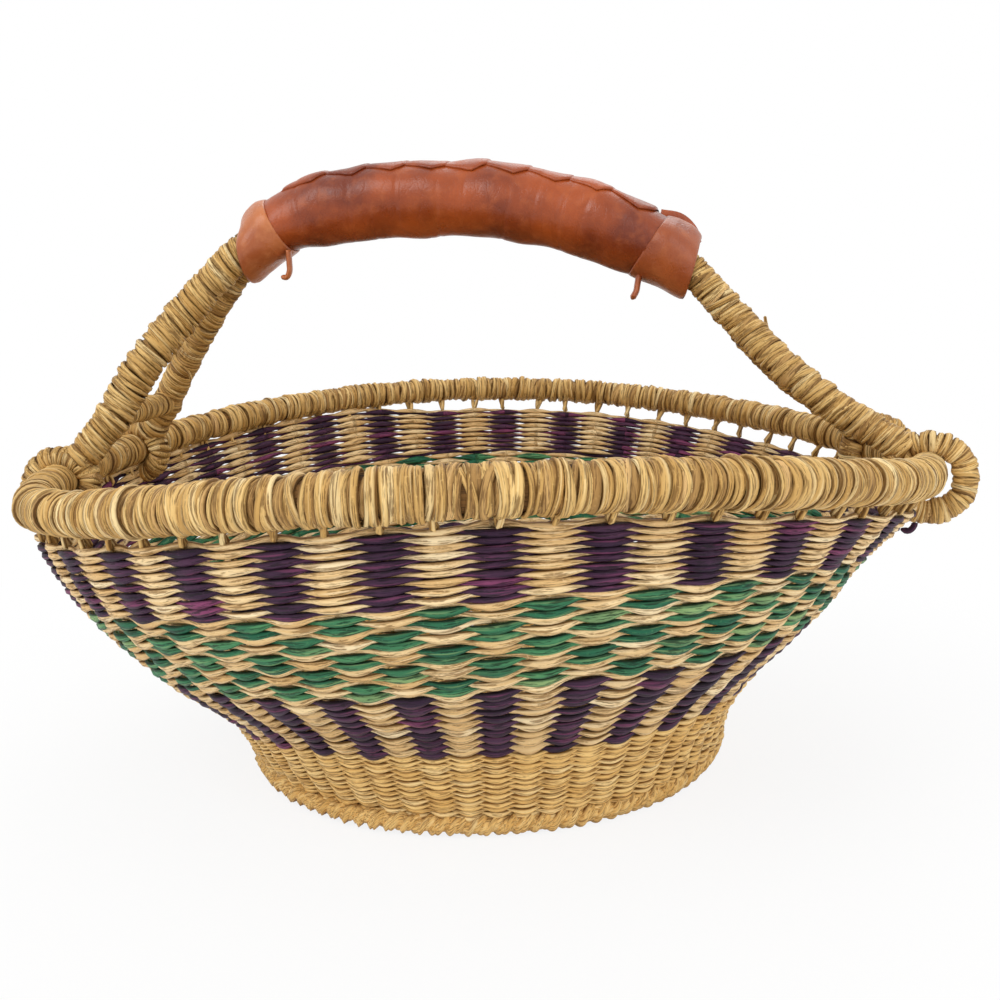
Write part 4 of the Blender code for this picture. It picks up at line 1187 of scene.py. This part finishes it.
def studio():
    """A white world, three soft lamps, and a white floor that keeps a faint shadow."""
    world = bpy.data.worlds.new("studio")
    bpy.context.scene.world = world
    world.use_nodes = True
    tree = world.node_tree
    strength = map_range(tree, seen_by_eye(tree), 0.0, 1.0, WORLD_LIGHT, 1.0)
    tree.links.new(strength, tree.nodes["Background"].inputs["Strength"])
    tree.nodes["Background"].inputs["Color"].default_value = (1.0, 1.0, 1.0, 1.0)
    for lamp in LAMPS:
        area_lamp(*lamp)
    turn = np.arange(FLOOR_SIDES) * TAU / FLOOR_SIDES
    points = FLOOR_RADIUS * np.stack([np.cos(turn), np.sin(turn), 0 * turn], axis=-1)
    floor = put_mesh("floor", points, np.arange(FLOOR_SIDES)[None, :])
    paint = bpy.data.materials.new("white floor")
    paint.use_nodes = True
    tree = paint.node_tree
    shader = tree.nodes["Principled BSDF"]
    shader.inputs["Base Color"].default_value = (0.92, 0.92, 0.92, 1.0)
    shader.inputs["Roughness"].default_value = 0.9
    glow = add_node(tree, "ShaderNodeEmission")
    mix = tree.nodes.new("ShaderNodeMixShader")
    place = tree.nodes.new("ShaderNodeTexCoord")
    away = add_node(tree, "ShaderNodeVectorMath", operation="LENGTH")
    tree.links.new(place.outputs["Object"], away.inputs[0])
    share = add_node(tree, "ShaderNodeMath", operation="MULTIPLY")
    tree.links.new(seen_by_eye(tree), share.inputs[0])
    tree.links.new(map_range(tree, away.outputs["Value"], *FLOOR_FADE), share.inputs[1])
    tree.links.new(share.outputs[0], mix.inputs[0])
    tree.links.new(shader.outputs[0], mix.inputs[1])
    tree.links.new(glow.outputs[0], mix.inputs[2])
    tree.links.new(mix.outputs[0], tree.nodes["Material Output"].inputs["Surface"])
    floor.data.materials.append(paint)


def finishes():
    """All the finishes of the basket by name."""
    stalk, hide = grass_group(), leather_group()
    # The fourth colour of each grass is for its fibre lines and for painted shade at strand edges
    return {
        "natural": grass("natural grass", stalk, (252, 224, 172), (226, 186, 126),
                         (255, 234, 190), (128, 90, 42), 0.75, 0.42),
        "foot": grass("foot grass", stalk, (255, 218, 146), (232, 186, 110),
                      (252, 222, 160), (140, 96, 44), 0.70, 0.42),
        "binding": grass("bound straw", stalk, (238, 200, 130), (200, 156, 88),
                         (252, 226, 168), (110, 76, 32), 0.75, 0.40),
        # The bound straw darkened as painted shade, for the windings under the upper ones
        "lower": grass("shaded lower straw", stalk, (204, 162, 100), (164, 124, 70),
                       (226, 184, 122), (92, 62, 28), 0.7, 0.5),
        # Straw darkened further as painted shade, for the tubes that show in the gaps between
        # turns
        "core": grass("shaded straw", stalk, (150, 108, 58), (118, 82, 40),
                      (150, 108, 58), (62, 40, 18), 0.6, 0.6),
        "purple": grass("purple grass", stalk, (84, 50, 76), (48, 26, 50),
                        (136, 66, 104), (20, 8, 18), 0.80, 0.40),
        "green": grass("green grass", stalk, (84, 148, 98), (30, 98, 70),
                       (148, 180, 118), (10, 40, 22), 0.80, 0.40),
        "leather": leather("tan leather", hide, (164, 74, 26), (112, 42, 14), (188, 98, 46)),
        "collar": leather("collar leather", hide, (196, 116, 66), (160, 82, 42),
                          (218, 144, 94)),
        # The right collar's leather: the same leather, darker than the left collar's
        "darker collar": leather("darker collar leather", hide, (172, 90, 46), (138, 62, 28),
                               (192, 112, 64)),
    }


def woven_wall(paint):
    """The bands of the wall from the foot to the open row, two colours of strand in each."""
    def at(shares):
        return lambda angle: border(shares, angle)

    def start(angle):
        return np.full(np.shape(angle), WEAVE_START_SHARE)

    foot, stripe, checker = at(FOOT_TOP_SHARES), at(STRIPE_TOP_SHARES), at(CHECKER_TOP_SHARES)
    bands = (
        Band("foot_weave", "foot_plain_strands", "foot", "natural_grass",
             "foot_light_strands", "foot", start, foot, [1] * FOOT_ROWS, 0.06),
        Band("lower_stripe_band", "lower_stripe_dyed_strands", "purple", "purple_grass",
             "lower_stripe_light_strands", "natural", foot, stripe, [1] * STRIPE_ROWS, 0.05),
        Band("checker_band", "checker_dyed_strands", "green", "green_grass",
             "checker_light_strands", "natural", stripe, checker,
             [(row // 2) % 2 for row in range(CHECKER_ROWS)], 0.06),
        Band("upper_stripe_band", "upper_stripe_dyed_strands", "purple", "purple_grass",
             "upper_stripe_light_strands", "natural", checker, weave_top_share,
             [1] * UPPER_ROWS, 0.0),
    )
    for seed, band in zip((10, 12, 14, 16), bands):
        wall_twining(band.lower_name, band, band.leads, -1, default_rng(seed - 1),
                     paint[band.lower_finish], band.lower_slot)
        wall_twining(band.upper_name, band, [1 - lead for lead in band.leads], 1,
                     default_rng(seed + 1), paint[band.upper_finish], "natural_grass")


def woven_base(paint):
    """The rings of the twined base, from the border inwards."""
    for name, inner, outer, rows, stakes, steps in BASE_RINGS:
        base_twining(name, inner, outer, rows, stakes, steps, default_rng(rows), paint["foot"])


def rim_reach(depth):
    """Half the rim's thickness less a depth, at shares of the way round."""
    return lambda share: rim_radius(share * TAU) - depth


def leg_reach(side, which):
    """Half a leg's thickness: the left front leg swells between its ends."""
    if (side, which) != (LEFT, FRONT):
        return LEG_THICKNESS / 2
    return lambda share: LEG_THICKNESS / 2 + FRONT_LEG_SWELL * bow(share)


def bound_rods(side, hand, which, word, seed, paint):
    """A loop and its leg: the upper winding, a lower one that fills its gaps, and a darker
    tube under both. The lower winding and the tube are darker as painted shade."""
    angle = loop_angle(side, which)
    round_way = np.array((-math.sin(angle), math.cos(angle), 0.0))
    lower_depth, filling_depth = ROD_DEPTHS
    for rod, line, closed, reach, inner, kinds, seeds, up in (
            ("loop", loop_line(side, which), True, LOOP_THICKNESS / 2, LOOP_THICKNESS / 2,
             (LOOP_UPPER, LOOP_LOWER), (seed, seed + 80), round_way),
            ("leg", leg_line(side, which), False, leg_reach(side, which), LEG_THICKNESS / 2,
             (LEG_UPPER, LEG_LOWER), (seed + 1, seed + 60), ACROSS)):
        node = f"{hand}_{word}_{rod}"
        wound(f"{node}_winding", line, closed, reach, kinds[0], default_rng(seeds[0]),
              "handle", (node,), paint["binding"], up)
        wound(f"{node}_lower_winding", line, closed, inner - lower_depth, kinds[1],
              default_rng(seeds[1]), "handle", (), paint["lower"], up)
        plain_tube(f"{node}_filling", line, closed, inner - filling_depth, "handle",
                   paint["core"], up)


def tie(side, hand, paint):
    """The wound tie between the two legs of one end, from one leg's line to the other's."""
    share = np.array((LEG_END_SHARE if side == LEFT else 1 - LEG_END_SHARE,))
    front, back = (arch_points(which, share)[0] for which in (FRONT, BACK))
    bar = front + (back - front) * np.linspace(TIE_INSET, 1 - TIE_INSET, TIE_STEPS)[:, None]
    wound(f"{hand}_crossbar_winding", bar, False, CROSSBAR_THICKNESS / 2, TIE_UPPER,
          default_rng(40 + side), "handle", (f"{hand}_crossbar",), paint["binding"])
    # The filling is painted darker, as shade under the winding
    plain_tube(f"{hand}_crossbar_filling", bar, False,
               CROSSBAR_THICKNESS / 2 - TIE_FILLING_DEPTH, "handle", paint["core"])


def bindings(paint):
    """The wound rim, legs, loops and ties."""
    lower_depth, filling_depth = RIM_DEPTHS
    wound("rim_winding", rim_line(), True, rim_reach(0.0), RIM_UPPER, default_rng(3),
          "basket", ("rim_binding",), paint["binding"])
    # The lower winding and the filling are painted darker, as shade under the upper winding
    wound("rim_lower_winding", rim_line(), True, rim_reach(lower_depth), RIM_LOWER,
          default_rng(8), "basket", (), paint["lower"])
    plain_tube("rim_filling", rim_line(), True, rim_reach(filling_depth), "basket",
               paint["core"])
    for side, hand, seed in ((LEFT, "left", 22), (RIGHT, "right", 26)):
        bound_rods(side, hand, FRONT, "front", seed, paint)
        bound_rods(side, hand, BACK, "back", seed + 2, paint)
        tie(side, hand, paint)


def grip(paint):
    """The leather sleeve, its lace, the two collars and their loose strips."""
    leather_sleeve(paint["leather"])
    lace_scallops(default_rng(5), paint["leather"])
    collar("left_collar", LEFT, paint["collar"])
    collar("right_collar", RIGHT, paint["darker collar"])
    for name, line, half_wide, half_thick, wide_way, finish in (
            ("left_tab", [(-0.0858, 0.008, 0.2260), (-0.0857, 0.008, 0.2200),
                          (-0.0858, 0.008, 0.2165), (-0.0873, 0.008, 0.2138),
                          (-0.0897, 0.008, 0.2143)], 0.0026, 0.0012, ACROSS, "collar"),
            ("right_tab", [(0.0708, 0.013, 0.2120), (0.0700, 0.012, 0.2070),
                           (0.0694, 0.011, 0.2040), (0.0675, 0.010, 0.2008)],
             0.0030, 0.0014, ACROSS, "darker collar"),
            ("back_tab", [(0.0800, 0.031, 0.2352), (0.0880, 0.032, 0.2335),
                          (0.0930, 0.032, 0.2285), (0.0945, 0.032, 0.2225)],
             0.0046, 0.0010, np.array((0.7, 0.0, 0.7)), "leather")):
        loose_strip(name, line, half_wide, half_thick, wide_way, paint[finish], "handle",
                    "collar_leather", name)


def stray_grass(paint):
    """Stray ends of grass: three short ones at the legs and a dark one below the right loop."""
    for name, line in (
            ("left_front_leg_stray", [(-0.1245, 0.006, 0.2105), (-0.1279, 0.006, 0.2141),
                                      (-0.1297, 0.006, 0.2162)]),
            ("right_front_leg_stray", [(0.1272, 0.006, 0.1835), (0.1256, 0.006, 0.1895),
                                       (0.1251, 0.006, 0.1925)]),
            ("left_back_leg_stray", [(-0.1490, 0.034, 0.1725), (-0.1453, 0.034, 0.1690),
                                     (-0.1443, 0.034, 0.1655)])):
        loose_strip(name, line, 0.0009, 0.0007, ACROSS, paint["binding"], "handle",
                    "bound_straw")
    loose_strip("dark_stray", [(0.1720, -0.012, 0.1170), (0.1785, -0.012, 0.1150),
                               (0.1828, -0.012, 0.1122), (0.1866, -0.012, 0.1081),
                               (0.1879, -0.012, 0.1037), (0.1857, -0.012, 0.1008),
                               (0.1822, -0.012, 0.1015)], 0.0014, 0.0010, UP,
                paint["purple"], "basket", "purple_grass")


def hidden_stalks(frame, paint):
    """The canes and the bundle inside the grip keep their solids, in the shaded straw of the
    core.
    """
    for name in ("front_cane", "back_cane", "grip_core"):
        frame["nodes"][name].data.materials.clear()
        frame["nodes"][name].data.materials.append(paint["core"])


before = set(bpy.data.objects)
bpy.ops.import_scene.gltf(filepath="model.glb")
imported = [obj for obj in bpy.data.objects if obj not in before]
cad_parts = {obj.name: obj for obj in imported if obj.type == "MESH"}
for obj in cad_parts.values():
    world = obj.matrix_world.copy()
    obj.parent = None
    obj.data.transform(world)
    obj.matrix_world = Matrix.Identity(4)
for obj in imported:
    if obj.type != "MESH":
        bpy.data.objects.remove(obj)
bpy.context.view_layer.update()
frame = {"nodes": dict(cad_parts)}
photograph_camera()
studio()
paint = finishes()
woven_wall(paint)
woven_base(paint)
foot_border(default_rng(2), paint["foot"])
open_row_posts(default_rng(4), paint["binding"])
bindings(paint)
grip(paint)
stray_grass(paint)
hidden_stalks(frame, paint)
bpy.context.scene.view_settings.view_transform = "Standard"
